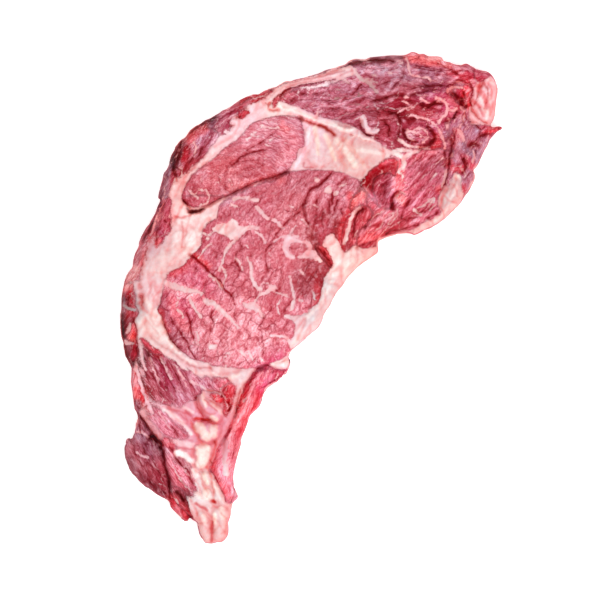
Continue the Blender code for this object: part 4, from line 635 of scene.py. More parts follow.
def noise(x, y, size, seed):
    """Smooth noise from 0 to 1 with bumps about this many squares across."""
    if seed not in TABLES:
        TABLES[seed] = np.random.default_rng(seed).random((96, 96))
    t = TABLES[seed]
    u, v = x / size + seed * 7.31, y / size + seed * 3.17
    i, j = np.floor(u).astype(int), np.floor(v).astype(int)
    fu, fv = u - i, v - j
    fu, fv = fu * fu * (3 - 2 * fu), fv * fv * (3 - 2 * fv)
    i0, i1, j0, j1 = i % 96, (i + 1) % 96, j % 96, (j + 1) % 96
    return (t[j0, i0] * (1 - fu) + t[j0, i1] * fu) * (1 - fv) + (t[j1, i0] * (1 - fu) + t[j1, i1] * fu) * fv


def cloud(x, y, size, seed, octaves=3):
    total, weight, share = 0.0, 0.0, 1.0
    for k in range(octaves):
        total = total + share * noise(x, y, size / 2**k, seed + k)
        weight += share
        share *= 0.55
    return total / weight


def step(lo, hi, x):
    t = np.clip((x - lo) / (hi - lo), 0, 1)
    return t * t * (3 - 2 * t)


def curve(points, closed=False, spacing=1.6):
    """A smooth run through the points, any further columns carried along."""
    p = np.array(points, float)
    if closed:
        q, n = np.vstack([p[-1], p, p[0], p[1]]), len(p)
    else:
        q, n = np.vstack([2 * p[0] - p[1], p, 2 * p[-1] - p[-2]]), len(p) - 1
    out = []
    for i in range(n):
        a, b, c, d = q[i : i + 4]
        m = max(1, int(math.ceil(np.linalg.norm(c[:2] - b[:2]) / spacing)))
        t = (np.arange(m) / m)[:, None]
        out.append(0.5 * (2 * b + (c - a) * t + (2 * a - 5 * b + 4 * c - d) * t * t + (3 * b - a - 3 * c + d) * t**3))
    if not closed:
        out.append(p[-1:])
    return np.vstack(out)


def inside_distance(x, y, loop):
    """Distance to a closed loop, positive inside."""
    best = np.full(x.shape, 1e9)
    inside = np.zeros(x.shape, bool)
    for (x0, y0), (x1, y1) in zip(loop, np.roll(loop, -1, axis=0)):
        dx, dy = x1 - x0, y1 - y0
        length = dx * dx + dy * dy
        if length < 1e-9:
            continue
        t = np.clip(((x - x0) * dx + (y - y0) * dy) / length, 0, 1)
        best = np.minimum(best, (x - x0 - t * dx) ** 2 + (y - y0 - t * dy) ** 2)
        if abs(dy) > 1e-12:
            inside ^= ((y0 > y) != (y1 > y)) & (x < dx * (y - y0) / dy + x0)
    return np.where(inside, 1, -1) * np.sqrt(best)


def path_reach(x, y, line):
    """The greatest of half width less distance over a path whose third column is its half width."""
    best = np.full(x.shape, -1e9)
    for (x0, y0, w0), (x1, y1, w1) in zip(line, line[1:]):
        dx, dy = x1 - x0, y1 - y0
        t = np.clip(((x - x0) * dx + (y - y0) * dy) / max(dx * dx + dy * dy, 1e-9), 0, 1)
        best = np.maximum(best, w0 + (w1 - w0) * t - np.hypot(x - x0 - t * dx, y - y0 - t * dy))
    return best


def window(points, margin):
    lo, hi = points[:, :2].min(0) - margin, points[:, :2].max(0) + margin
    a, b = max(0, int((lo[0] - C0) * FINE)), min(NX, int((hi[0] - C0) * FINE) + 2)
    c, d = max(0, int((lo[1] - R0) * FINE)), min(NY, int((hi[1] - R0) * FINE) + 2)
    return slice(c, d), slice(a, b)


# Edges of muscles and fat waver, so every path is read on a wavered sheet.
WC = CC + 1.5 * (cloud(CC, RR, 6.0, 11, 3) - 0.5) + 1.1 * (noise(CC, RR, 2.2, 15) - 0.5)
WR = RR + 1.5 * (cloud(CC, RR, 6.0, 21, 3) - 0.5) + 1.1 * (noise(CC, RR, 2.2, 25) - 0.5)


def with_width(text, w0, w1):
    p = P(text)
    along = np.concatenate([[0], np.cumsum(np.linalg.norm(np.diff(p, axis=0), axis=1))])
    w = w0 + (w1 - w0) * along / along[-1]
    return curve(np.column_stack([p, w]))


def read(field, col, row):
    """The field between its samples."""
    u = np.clip((np.asarray(col) - C0) * FINE, 0, NX - 1.001)
    v = np.clip((np.asarray(row) - R0) * FINE, 0, NY - 1.001)
    i, j = u.astype(int), v.astype(int)
    a, b = u - i, v - j
    if field.ndim == 3:
        a, b = a[..., None], b[..., None]
    return (field[j, i] * (1 - a) + field[j, i + 1] * a) * (1 - b) + (field[j + 1, i] * (1 - a) + field[j + 1, i + 1] * a) * b


def creases(x, y, size, seed):
    """Distance in squares to the lines along which smooth noise passes its middle value."""
    n = cloud(x, y, size, seed, 2) - 0.5
    if n.ndim == 2:
        r, c = np.gradient(n, 1 / FINE)
    else:
        r, c = (2 * (cloud(x + e, y + f, size, seed, 2) - 0.5 - n) for e, f in ((0.5, 0.0), (0.0, 0.5)))
    return np.abs(n) / (np.hypot(r, c) + 0.004)


def spread(points, values, soft, power=2.0):
    """Values given at points carried over the sheet, by nearness."""
    c, r = np.meshgrid(np.linspace(C0, C1, 104), np.linspace(R0, R1, 132))
    total, weight = 0.0, 0.0
    for (pc, pr), value in zip(points, values):
        w = 1 / ((c - pc) ** 2 + (r - pr) ** 2 + soft**2) ** power
        total = total + w[..., None] * np.atleast_1d(value)
        weight = weight + w
    coarse = total / weight[..., None]
    u, v = (CC - C0) / (C1 - C0) * 103, (RR - R0) / (R1 - R0) * 131
    i, j = np.minimum(u.astype(int), 102), np.minimum(v.astype(int), 130)
    a, b = (u - i)[..., None], (v - j)[..., None]
    return (coarse[j, i] * (1 - a) + coarse[j, i + 1] * a) * (1 - b) + (coarse[j + 1, i] * (1 - a) + coarse[j + 1, i + 1] * a) * b


def linear(rgb):
    c = np.asarray(rgb, float) / 255
    return np.where(c <= 0.04045, c / 12.92, ((c + 0.055) / 1.055) ** 2.4)


def upsampled_distance(loop):
    """Inside distance worked out on whole squares and read in between."""
    c, r = np.meshgrid(np.arange(C0, C1 + 1, dtype=float), np.arange(R0, R1 + 1, dtype=float))
    coarse = inside_distance(c, r, loop)
    i, j = np.minimum((CC - C0).astype(int), C1 - C0 - 1), np.minimum((RR - R0).astype(int), R1 - R0 - 1)
    a, b = CC - C0 - i, RR - R0 - j
    return (coarse[j, i] * (1 - a) + coarse[j, i + 1] * a) * (1 - b) + (coarse[j + 1, i] * (1 - a) + coarse[j + 1, i + 1] * a) * b


EDGE = curve(P(OUTLINE), True, 1.0)
RIM = upsampled_distance(EDGE)
BODY_RIM = np.minimum(RIM, -upsampled_distance(curve(P(BODY_CUT), True, 1.5)))
STRIP_RIM = upsampled_distance(curve(P(STRIP), True, 1.2))
FLAP_RIM = upsampled_distance(curve(P(FLAP), True, 1.2))
BODY_RIM = np.minimum(BODY_RIM, np.where(STRIP_RIM > -14, -STRIP_RIM + 3.0, 99))

bulk = spread([b[:2] for b in BULK], [b[2:] for b in BULK], 8.0)
THICK, SET_IN = bulk[..., 0], bulk[..., 1]
FLAP_THICK = spread([b[:2] for b in FLAP_BULK], [b[2] for b in FLAP_BULK], 6.0)[..., 0]
strip_bulk = spread([b[:2] for b in STRIP_BULK], [b[2:] for b in STRIP_BULK], 5.0, 3.0)
STRIP_MID, STRIP_HALF = strip_bulk[..., 0], strip_bulk[..., 1]


def shoulder(z0, z1, e):
    e = np.clip(e, 0, 1)
    return z0 + (z1 - z0) * (1 - (1 - e) ** 2.2) ** 0.55


def build_up(thick, set_in, flap, mid, half, body_rim, flap_rim, strip_rim):
    """Height of the plain cut face, its flap and its strip in mm from how far inside each one a point is."""
    z = np.where(body_rim >= 0, shoulder(thick * 0.34, thick, body_rim / set_in), 0.0)
    f = np.where(flap_rim >= 0, shoulder(flap * 0.45, flap, flap_rim / 6.0), 0.0)
    s = np.where(strip_rim >= 0, mid - 0.25 * half + 1.25 * half * np.sqrt(np.clip(1 - (1 - np.clip(strip_rim / 11.0, 0, 1)) ** 2, 0, 1)), 0.0)
    return np.maximum(np.maximum(z, f), s)


SHAPE = build_up(THICK, SET_IN, FLAP_THICK, STRIP_MID, STRIP_HALF, BODY_RIM, FLAP_RIM, STRIP_RIM)

RELIEF = np.zeros_like(CC)  # mm over or under the plain face
FAT = np.full(CC.shape, 5.0)  # squares into fat, negative in muscle
GRAIN_U, GRAIN_V = CC * 0.55, RR.copy()
STREAK = np.zeros_like(CC)  # how streaky the grain is, 0 to 1
CREASED = np.zeros_like(CC)  # how much the muscle is creased along its grain
STRANDS = np.full(CC.shape, -3.0)  # squares into a strand of fat between fibres
PALE_RIDGE = np.zeros_like(CC)  # how strongly the ridges of its grain get a pale painted sheen
RIDGED = {"cap_upper": 1.0, "cap_lower": 0.7, "end_lean": 0.7, "tail_muscle": 0.8, "tail_low": 0.6, "trim_top": 0.8, "trim_mid": 0.7, "trim_low": 0.5,
    "flap": 0.2, "flap_red": 0.05, "strip": 0.25, "rind_top": 0.0, "top_edge": 0.1, "wall_low": 0.05, "wall_mid": 0.1, "wall_gash": 0.1, "complexus": 0.35, "eye": 0.15, "wall_top": 0.1}
CREASE_SHARE = {"flap_red": 0.3, "flap": 0.5, "eye": 0.25, "complexus": 0.4, "strip": 0.3, "tail_red": 0.3, "patella": 0.2, "between": 0.4, "tail_edge": 0.4, "end_lean": 0.7}
# how far the grain of a muscle shows as streaks of colour, where it differs from the rest
STREAKY = {"strip": 0.3, "cap_upper": 0.75}
# how far a border frays along the fibres in squares, and the half width of the strands of fat between its fibres
FRAY = {"tail_muscle": (6.0, 0.7), "tail_second": (9.0, 0.9), "tail_low": (7.0, 0.6), "flap_red": (2.0, 0.0), "trim_top": (5.0, 0.7), "trim_mid": (5.0, 0.7),
    "trim_low": (3.0, 0.5), "cap_upper": (2.4, 0.35), "cap_lower": (3.0, 0.40), "end_lean": (4.0, 0.5), "flap": (1.0, 0.0), "strip": (1.8, 0.4), "tail_edge": (3.0, 0.3),
    "tail_link": (3.0, 0.6), "tail_red": (3.0, 0.2), "complexus": (1.0, 0.0), "eye": (1.8, 0.0), "wall_mid": (2.5, 0.3), "wall_low": (1.0, 0.2), "notch_band": (2.4, 0.6)}
# how crisp the border of a muscle is; in the others it fades into the fat
SOFT = {"tail_second": 0.30, "tail_low": 0.35, "tail_muscle": 0.5, "trim_top": 0.4, "trim_mid": 0.5, "trim_low": 0.6, "tail_edge": 0.5, "wall_mid": 0.5,
    "tail_link": 0.5, "tail_red": 0.5, "cap_lower": 0.8, "end_lean": 0.7, "top_edge": 0.6}
for name, (text, turn, stretch, rise, roll) in LEAN.items():
    loop = curve(P(text), True, 1.8)
    win = window(loop, 8)
    x, y = WC[win], WR[win]
    d = inside_distance(x, y, loop)
    if name == "flap":
        d = np.minimum(d, -BODY_RIM[win])
    a = math.radians(turn)
    run, over = x * math.cos(a) - y * math.sin(a), x * math.sin(a) + y * math.cos(a)
    fray, strand = FRAY.get(name, (0.8, 0.0))
    d = d + fray * (cloud(run * 0.33, over, 3.6, 171, 2) - 0.5) * step(-4.0, -0.5, d) * (1 - step(3.0, 9.0, d))
    FAT[win] = np.minimum(FAT[win], -d * SOFT.get(name, 1.0))
    if strand:
        line = creases(run * 0.40, over, 8.0, 175)
        often = step(0.50, 0.70, cloud(run * 0.5, over, 14, 179, 2)) * step(1.0, 3.0, d)
        STRANDS[win] = np.maximum(STRANDS[win], often * strand - line * 0.9)
    RELIEF[win] += rise * (1 - np.exp(-np.clip(d, 0, None) / roll))
    CREASED[win] = np.where(d > 0, CREASE_SHARE.get(name, 0.9), CREASED[win])
    PALE_RIDGE[win] = np.where(d > 0, RIDGED.get(name, 0.3), PALE_RIDGE[win])
    cx, cy = x, y
    if name == "complexus":
        # the fibres curve round the middle of this muscle
        r = np.hypot((cx - 236) * 0.8, (cy - 196) * 1.15)
        th = np.arctan2(cy - 196, cx - 236)
        u, v = th * 60, r
    else:
        bend = (12.0 if name == "cap_upper" else 5.0) * (cloud(cx, cy, 22, 31 + len(name), 2) - 0.5)
        u = cx * math.cos(a) - cy * math.sin(a)
        v = cx * math.sin(a) + cy * math.cos(a) + bend
    GRAIN_U[win] = np.where(d > 0, u / stretch, GRAIN_U[win])
    GRAIN_V[win] = np.where(d > 0, v, GRAIN_V[win])
    STREAK[win] = np.where(d > 0, STREAKY.get(name, min(1.0, (stretch - 1) / 2.6)), STREAK[win])


def widest(field, size, pick):
    """The largest or smallest value (pick) of the field within this many samples each way."""
    for axis in (0, 1):
        out = field
        for k in range(1, size + 1):
            for way in (-k, k):
                out = pick(out, np.roll(field, way, axis))
        field = out
    return field


# where two muscles touch there is no fat between them
FAT = np.where(FAT < 1.6, widest(widest(FAT, 3, np.minimum), 3, np.maximum), FAT)

FAT = np.where(FAT < 0, np.maximum(FAT, STRANDS), FAT)

for w0, w1, rise, text in FAT_BANDS:
    line = with_width(text, w0, w1)
    win = window(line, 6)
    d = path_reach(WC[win], WR[win], line) + 0.35 + 1.3 * (noise(CC[win], RR[win], 3.0, 41) - 0.5)
    FAT[win] = np.maximum(FAT[win], d)
    RELIEF[win] += rise * step(-1.2, 1.0, d)
for rise, text in FAT_PATCHES:
    loop = curve(P(text), True, 1.8)
    win = window(loop, 6)
    d = inside_distance(WC[win], WR[win], loop) + 1.4 * (noise(CC[win], RR[win], 3.4, 43) - 0.5)
    FAT[win] = np.maximum(FAT[win], d)
    RELIEF[win] += rise * step(-1.5, 2.5, d)
for text in ISLANDS:
    loop = curve(P(text), True, 1.5)
    win = window(loop, 6)
    d = inside_distance(WC[win], WR[win], loop)
    FAT[win] = np.minimum(FAT[win], -d)

# ------------------------------------------------------------------ colour
LEAN_RGB = spread([t[:2] for t in LEAN_TINTS], [linear(t[2:]) for t in LEAN_TINTS], 9.0)
FAT_RGB = spread([t[:2] for t in FAT_TINTS], [linear(t[2:]) for t in FAT_TINTS], 9.0)


def lay(target, win, share, rgb):
    target[win] = target[win] * (1 - share[..., None]) + linear(rgb) * share[..., None]


for w0, w1, strength, rgb, text in PALE + PINK:
    line = with_width(text, w0, w1)
    win = window(line, 9)
    d = path_reach(WC[win], WR[win], line)
    lay(FAT_RGB, win, strength * step(-1.3, 0.7, d), rgb)
    if rgb[1] < 150:
        RELIEF[win] -= 0.35 * strength * step(-2.2, 0.6, d)
    else:
        RELIEF[win] += 0.25 * strength * step(-2.2, 0.6, d)
for half, strength, rgb, text in STAINS:
    line = with_width(text, half, half)
    win = window(line, 9)
    d = path_reach(WC[win], WR[win], line) + 3.0 * (cloud(CC[win], RR[win], 4.0, 51, 2) - 0.5)
    share = strength * step(-half * 0.75 - 0.6, half * 0.55, d)
    lay(LEAN_RGB, win, share, rgb)
GAP = np.full(CC.shape, -3.0)  # squares into a crack
CRACK_DEPTH = np.zeros_like(CC)
for half, depth, dark, text in CRACKS:
    line = with_width(text, half, half * 0.7)
    win = window(line, 9)
    d = path_reach(WC[win], WR[win], line)
    d = d - 0.7 * (noise(CC[win], RR[win], 2.6, 53) - 0.4)
    GAP[win] = np.maximum(GAP[win], d - 0.9 * (1 - dark) + 0.2)
    CRACK_DEPTH[win] = np.maximum(CRACK_DEPTH[win], depth * step(-1.5 - half * 0.8, half * 0.7, d))
RELIEF -= CRACK_DEPTH


def blurred(field, sigma):
    """The field softened over this many squares."""
    k = np.arange(-int(3 * sigma * FINE), int(3 * sigma * FINE) + 1)
    w = np.exp(-(k**2) / (2 * (sigma * FINE) ** 2))
    w /= w.sum()
    pad = len(k) // 2
    out = np.pad(field, pad, mode="edge")
    out = sum(wi * out[:, i : i + field.shape[1] + 0] for i, wi in enumerate(w))
    return sum(wi * out[i : i + field.shape[0], :] for i, wi in enumerate(w))


# How open the fine net of cracks between the bundles is, strongest in the lower half of the eye.
NET = np.zeros_like(CC)
for name, share in (("eye", 1.0), ("complexus", 0.35), ("cap_lower", 0.4), ("tail_second", 0.3)):
    loop = curve(P(LEAN[name][0]), True, 3.0)
    win = window(loop, 2)
    depth = inside_distance(CC[win], RR[win], loop)
    often = step(0.22, 0.55, cloud(CC[win], RR[win], 17, 67, 2))
    lower = 0.62 + 0.20 * step(215, 310, RR[win]) if name == "eye" else 0.8
    NET[win] = np.maximum(NET[win], share * often * lower * step(0, 5, depth))

# The cup in the lower cap.
CALM = np.zeros_like(CC)
CUP = curve(P("361,184 364,178 370,170 376,166 381,162 390,158 396,159 398,166 396,174 394,184 392,192 393,204 388,210 380,208 372,200 366,193"), True, 1.5)
win = window(CUP, 4)
cup = inside_distance(WC[win], WR[win], CUP)
RELIEF[win] -= 5.0 * step(0, 11, cup)
pit = inside_distance(WC[win], WR[win], curve(P("375,179 381,175 389,174 396,178 394,186 393,200 388,209 380,207 375,198 372,188"), True, 1.5))
calm = step(-1.0, 3.0, cup) * (1 - step(-2.0, 2.0, pit))
CALM[win] = calm
NET[win] *= 1 - calm
CREASED[win] *= 1 - calm
PALE_RIDGE[win] *= 1 - calm
STREAK[win] *= 1 - 0.8 * calm
smooth = (cup > 0.5) & (pit < 0)
GRAIN_U[win] = np.where(smooth, CC[win] * 0.25, GRAIN_U[win])
GRAIN_V[win] = np.where(smooth, RR[win] * 0.25, GRAIN_V[win])

# Lumps of fat on the tail, domed and set apart.
for text, rise in (
    ("198,395 202,391 205,395 211,399 218,402 224,409 223,416 219,421 213,422.5 208,418 202,414 199,405", 2.4),
    ("191,421 194,419.5 200,421 206,423 210,421.5 216,422.5 221,424.5 221,431 217,438 213,442 207,443 200,441 197,435 194,428", 2.4),
    ("196,443.5 203,443 210,443.5 213,449 212,456 209,463 204,469 199,472 196,470 194,464 193,456 193,448", 2.4),
    ("190.5,472 194,470 197.5,472.5 197,477 193.5,478.5 190.5,476", 1.4), ("188,490 193,488.5 199,491 205,495 211,499 210,505 205,508 199,506 193,502 189,497", 1.5),
    ("201,474 206,471 209,477 211,484 210,487 205,486 202,480", 1.5), ("202,489 207,487.5 211,489.5 213,494 212,500 208,502 203,498 201,493", 1.6), ("212,478 216,482 219,490 222,499 219,502 215,497 212,488", 1.6),
    ("198,512 204,511 209,516 211,524 211,533 210,541 205,542 200,536 198,526 196,518", 1.7), ("213,510 219,505 226,507 229,514 228,524 226,534 221,541 215,542 213,534 212,524 211,516", 1.9),
    ("406,126 416,122 426,127 430,136 426,144 416,146 408,141 404,133", 1.4), ("394,193 401,191 408,196 407,204 400,208 394,203", 2.0),
    ("176,206 186,209 197,216 196,226 184,230 175,222", 0.7), ("186,229 199,228 200,242 190,250 183,242", 0.7), ("173,232 184,231 183,248 176,262 167,264 168,246", 0.8),
    ("142,284 156,286 158,304 150,310 143,300", 0.8), ("144,312 158,318 164,334 156,338 146,330", 0.8), ("143,262 152,256 158,262 154,274 146,272", 0.7),
    ("306,126 322,126 332,136 340,150 336,166 312,166 305,154", 0.9), ("340,138 360,142 384,152 372,164 358,176 346,168", 0.7),
    ("334,138 340,138 347,146 355,156 361,166 352,168 343,158 336,148", 0.5), ("275,103 284,106 297,110 309,115 316,118 315,122 306,120 296,117 284,112 276,109", 0.9), ("320,121 330,123 338,124 346,126 356,127 357,131 350,134.5 340,132.5 330,129.5 321,125", 1.1),
    ("352,134 362,137 373,140 374,143 364,142 354,138", 0.7), ("362,116 366,116 367,124 369,130 377,130 377,134 368,135 363.5,130", 1.0),
    ("344,232 352,232 352,250 356,262 346,270 340,262", 0.7), ("444,194 456,178 461,192 458,204 447,214 440,212", 0.9), ("478,86 494,86 494,104 484,108 474,100", 0.9),
    ("476,108 492,108 490,122 478,122", 0.7), ("220,378 236,370 250,372 242,384 234,386 222,386", 0.6), ("322,278 334,270 342,272 332,292 322,304", 0.5),
):
    loop = curve(P(text), True, 2.0)
    win = window(loop, 6)
    d = inside_distance(WC[win], WR[win], loop)
    RELIEF[win] += rise * (step(-0.5, 6.4, d) - 0.30 * (1 - step(0.0, 1.6, np.abs(d))))

# Grain of the muscles as relief, and slow unevenness.
lean_here = 1 - step(-1.0, 0.6, FAT)
grain = cloud(GRAIN_U, GRAIN_V, 3.4, 81, 2)
coarse = cloud(GRAIN_U * 0.6, GRAIN_V, 7.5, 85, 2)
RELIEF += lean_here * ((grain - 0.5) * (0.45 + 0.75 * STREAK) + (coarse - 0.5) * (0.9 + 0.9 * STREAK))
deep_in = step(0.6, 1.8, -FAT)
for size, seed, depth, reach in ((10.0, 131, 0.55, 0.80), (5.5, 135, 0.32, 0.50), (3.6, 137, 0.18, 0.20)):
    d = creases(GRAIN_U, GRAIN_V, size, seed)
    often = step(0.34, 0.58, cloud(GRAIN_U, GRAIN_V, 15, seed + 7, 2)) * CREASED
    RELIEF -= deep_in * often * depth * np.exp(-((d / 1.1) ** 2))
    RELIEF += deep_in * often * depth * 0.35 * np.exp(-(((d - 2.2) / 1.2) ** 2))
    GAP = np.maximum(GAP, np.where(deep_in * often > 0.05, deep_in * often * (reach + 0.7) - 0.9 - d * 1.0, -3))
fat_here = 1 - lean_here
RELIEF += fat_here * (1.7 * (cloud(CC, RR, 11, 91, 2) - 0.5) + 0.9 * (cloud(CC, RR, 4.5, 95, 2) - 0.5))
down = step(345, 372, RR)  # the tail, where the fat lies in strands along its length
for turn, share_of in ((-60, down), (58, 1 - down)):
    a = math.radians(turn)
    u, v = CC * math.cos(a) - RR * math.sin(a), CC * math.sin(a) + RR * math.cos(a) + 4 * (noise(CC, RR, 9, 147) - 0.5)
    for size, seed, depth, share in ((13.0, 141, 0.50, 0.52), (7.0, 145, 0.28, 0.34), (4.4, 149, 0.16, 0.24)):
        d = creases(u * 0.42, v, size, seed)
        often = step(0.36, 0.62, cloud(u * 0.6, v, 20, seed + 9, 2)) * fat_here * share_of
        RELIEF -= often * depth * np.exp(-((d / 1.3) ** 2))
        # painted shade: the fat's creases are darker and pinker
        crease_shade = often * share * np.exp(-((d / 1.0) ** 2))
        FAT_RGB = FAT_RGB * (1 - crease_shade[..., None] * np.array([0.04, 0.42, 0.42]))
RELIEF += 1.5 * (cloud(CC, RR, 42, 97, 2) - 0.5) + 0.9 * (cloud(CC, RR, 17, 99, 2) - 0.5)
# the muscle's edge rolls a little down to the fat
RELIEF -= 0.12 * np.exp(-((FAT + 0.6) / 1.4) ** 2) * (FAT > -5)

# Painted shade: grooves darker and humps lighter in colour, from the relief. Slow light and dark in the muscles along
# their grain.
away = np.clip(np.abs(FAT) / 2.4, 0.1, 1)
hollow = np.clip(blurred(RELIEF, 1.0) - blurred(RELIEF, 3.2), -0.6, 0.35) * away
wide = np.clip(blurred(RELIEF, 2.5) - blurred(RELIEF, 8.0), -1.2, 0.5) * away
LEAN_SHADE_AND_MOTTLE = np.clip(1 + 0.9 * hollow + 0.25 * wide, 0.5, 1.5)
FAT_PAINTED_SHADE = np.clip(1 + 0.34 * hollow + 0.10 * wide, 0.62, 1.12)
mottle = cloud(GRAIN_U * 0.8, GRAIN_V, 6.0, 103, 3)
LEAN_SHADE_AND_MOTTLE = LEAN_SHADE_AND_MOTTLE * (1 + 0.8 * (mottle - 0.5)) * (1 + 0.25 * (cloud(CC, RR, 12, 107, 2) - 0.5))
# painted sheen: pale lavender laid on the ridges of the grain
ridge_sheen = cloud(GRAIN_U * 1.1, GRAIN_V, 4.6, 151, 2)
ridge_sheen = step(0.56, 0.74, ridge_sheen + 0.10 * np.clip(hollow, -1, 1)) * (0.25 * (1 - CALM) + 0.75 * PALE_RIDGE)
LEAN_RGB = LEAN_RGB * (1 - 0.55 * ridge_sheen[..., None]) + linear((226, 166, 182)) * 0.55 * ridge_sheen[..., None]
blotch = step(0.46, 0.68, cloud(GRAIN_U * 0.9, GRAIN_V, 9, 155, 3)) * PALE_RIDGE
LEAN_SHADE_AND_MOTTLE = LEAN_SHADE_AND_MOTTLE * (1 - 0.42 * blotch)
# darker is redder as well
LEAN_RGB = LEAN_RGB * np.stack([LEAN_SHADE_AND_MOTTLE**0.45, LEAN_SHADE_AND_MOTTLE**1.5, LEAN_SHADE_AND_MOTTLE**1.35], -1)
FAT_RGB = FAT_RGB * np.stack([FAT_PAINTED_SHADE**0.25, FAT_PAINTED_SHADE**1.3, FAT_PAINTED_SHADE**1.25], -1)
FAT_RGB = FAT_RGB * (1 + np.array([0.03, 0.16, 0.14]) * (cloud(CC, RR, 9, 109, 3) - 0.5)[..., None] * 2)
# painted shade: fat is tinted pinker, not greyer, where it slopes, standing in for light through the fat
face = SHAPE + RELIEF
fat_slope_shade = np.hypot(*np.gradient(face, SQUARE * 1e3 / FINE))
fat_slope_shade = np.clip(blurred(fat_slope_shade, 0.8) * 0.75 - 0.12, 0, 1)[..., None]
FAT_RGB = FAT_RGB * (1 + fat_slope_shade * np.array([0.10, -0.16, -0.20]))
# flecks of fat in the muscles
fleck = cloud(GRAIN_U * 1.2, GRAIN_V, 3.0, 113, 2)
FAT = np.where(FAT < 0, FAT + 9.0 * np.clip(fleck - 0.69, 0, 1) * (0.4 + 0.6 * noise(CC, RR, 30, 117)), FAT)
FAT = np.clip(FAT, -4, 4)

# ------------------------------------------------------------------ the mesh
def height(col, row, inset=None):
    """Height of the finished cut face in mm; inset is the exact distance inside the outline, where it is known."""
    body, flap, strip = read(BODY_RIM, col, row), read(FLAP_RIM, col, row), read(STRIP_RIM, col, row)
    rim = read(RIM, col, row)
    if inset is not None:
        gap = inset - rim
        body, flap, strip = (np.where(np.abs(k - rim) < 1.0, k + gap, k) for k in (body, flap, strip))
        rim = rim * 0 + inset
    z = build_up(read(THICK, col, row), read(SET_IN, col, row), read(FLAP_THICK, col, row), read(STRIP_MID, col, row), read(STRIP_HALF, col, row), body, flap, strip)
    fade = step(0.0, 5.0, rim)
    return np.maximum(z + read(RELIEF, col, row) * (0.15 + 0.85 * fade) * step(-0.5, 0.6, rim), 2.0)


total = np.concatenate([[0], np.cumsum(np.linalg.norm(np.diff(np.vstack([EDGE, EDGE[:1]]), axis=0), axis=1))])
count = int(total[-1] / RING_STEP)
s = np.arange(count) / count * total[-1]
closed_edge = np.vstack([EDGE, EDGE[:1]])
ring0 = np.column_stack([np.interp(s, total, closed_edge[:, 0]), np.interp(s, total, closed_edge[:, 1])])
GRAD_R, GRAD_C = np.gradient(RIM, 1 / FINE)


def march(start, distance):
    """Points moved inwards along the way off the rim."""
    p = start.copy()
    moved = np.zeros(len(p))
    steps = max(1, int(np.ceil(np.max(distance) / 0.3)))
    for _ in range(steps):
        g = np.column_stack([read(GRAD_C, p[:, 0], p[:, 1]), read(GRAD_R, p[:, 0], p[:, 1])])
        size = np.linalg.norm(g, axis=1, keepdims=True)
        hop = (np.asarray(distance) / steps)[:, None] if np.ndim(distance) else distance / steps
        p = p + g / np.maximum(size, 0.35) * hop
    return p


def even(p, share=0.5, times=1):
    for _ in range(times):
        p = p * (1 - share) + (np.roll(p, 1, axis=0) + np.roll(p, -1, axis=0)) / 2 * share
    return p


insets = [0.0, 0.12, 0.3, 0.55, 0.9, 1.35]
upper = []
previous = ring0
for i, d in enumerate(insets):
    if i:
        previous = even(march(previous, insets[i] - insets[i - 1]), 0.25)
    upper.append(previous)
ring_z = [height(p[:, 0], p[:, 1], np.full(len(p), d)) for p, d in zip(upper, insets)]
waist = ring_z[0]

# The widest the foot can be set in before it meets the other side.
deep = march(ring0, 14.0)
room = np.maximum(read(RIM, deep[:, 0], deep[:, 1]), 2.0)
foot_in = np.minimum(FOOT_IN, 0.55 * room)
foot_in = even(foot_in[:, None], 0.5, 30)[:, 0]
fallen = (0.07, 0.15, 0.24, 0.33, 0.42, 0.51, 0.60, 0.69, 0.78, 0.87, 0.95, 1.0)  # share of the way down to the floor
levels = [math.asin(u) * 2 / math.pi for u in fallen]
lower, lower_z = [], []
previous, done = ring0, np.zeros(count)
arc = s
for t in levels:
    want = foot_in * (1 - math.cos(t * math.pi / 2))
    previous = even(march(previous, np.maximum(want - done, 1e-4)), 0.3, 2)
    done = want
    z = waist * (1 - math.sin(t * math.pi / 2))
    lower.append(previous)
    lower_z.append(z)

points, heights = [], []
for p, z in zip(upper, ring_z):
    points.append(p)
    heights.append(z)
for k, (p, z) in enumerate(zip(lower, lower_z)):
    if k < len(lower) - 2:
        g = np.column_stack([read(GRAD_C, p[:, 0], p[:, 1]), read(GRAD_R, p[:, 0], p[:, 1])])
        bump = (cloud(arc, z * 2.4, 10.0, 203, 3) - 0.5) * 3.0 + (cloud(arc, z * 1.6, 24.0, 207, 2) - 0.5) * 2.4
        bump = bump - 0.5 * np.exp(-((creases(arc, z * 0.7, 13.0, 211) / 1.4) ** 2)) * step(0.40, 0.60, cloud(arc, z, 30, 215, 2))
        p = p + g * (np.clip(bump, -0.8, 1.3) * min(1, 2.2 * math.sin(math.pi * fallen[k])))[:, None]
    points.append(p)
    heights.append(z)
rings = len(points)
n_upper = len(upper)
XY = np.vstack(points)
Z = np.concatenate(heights)
ring_start = [i * count for i in range(rings)]
faces, kinds = [], []


def band(a, b, kind):
    """Two triangles to each square between two rings, facing out when a is above b."""
    i = np.arange(count)
    j = (i + 1) % count
    one = np.column_stack([a + i, a + j, b + i])
    two = np.column_stack([a + j, b + j, b + i])
    faces.append(np.vstack([one, two]))
    kinds.append(np.full(2 * count, kind))


# rings 0..n_upper-1 run from the outline inwards and up; the others from the outline down and in
for k in range(n_upper - 1):
    band(ring_start[k + 1], ring_start[k], 0)
band(ring_start[0], ring_start[n_upper], 1)
for k in range(n_upper, rings - 1):
    band(ring_start[k], ring_start[k + 1], 1)


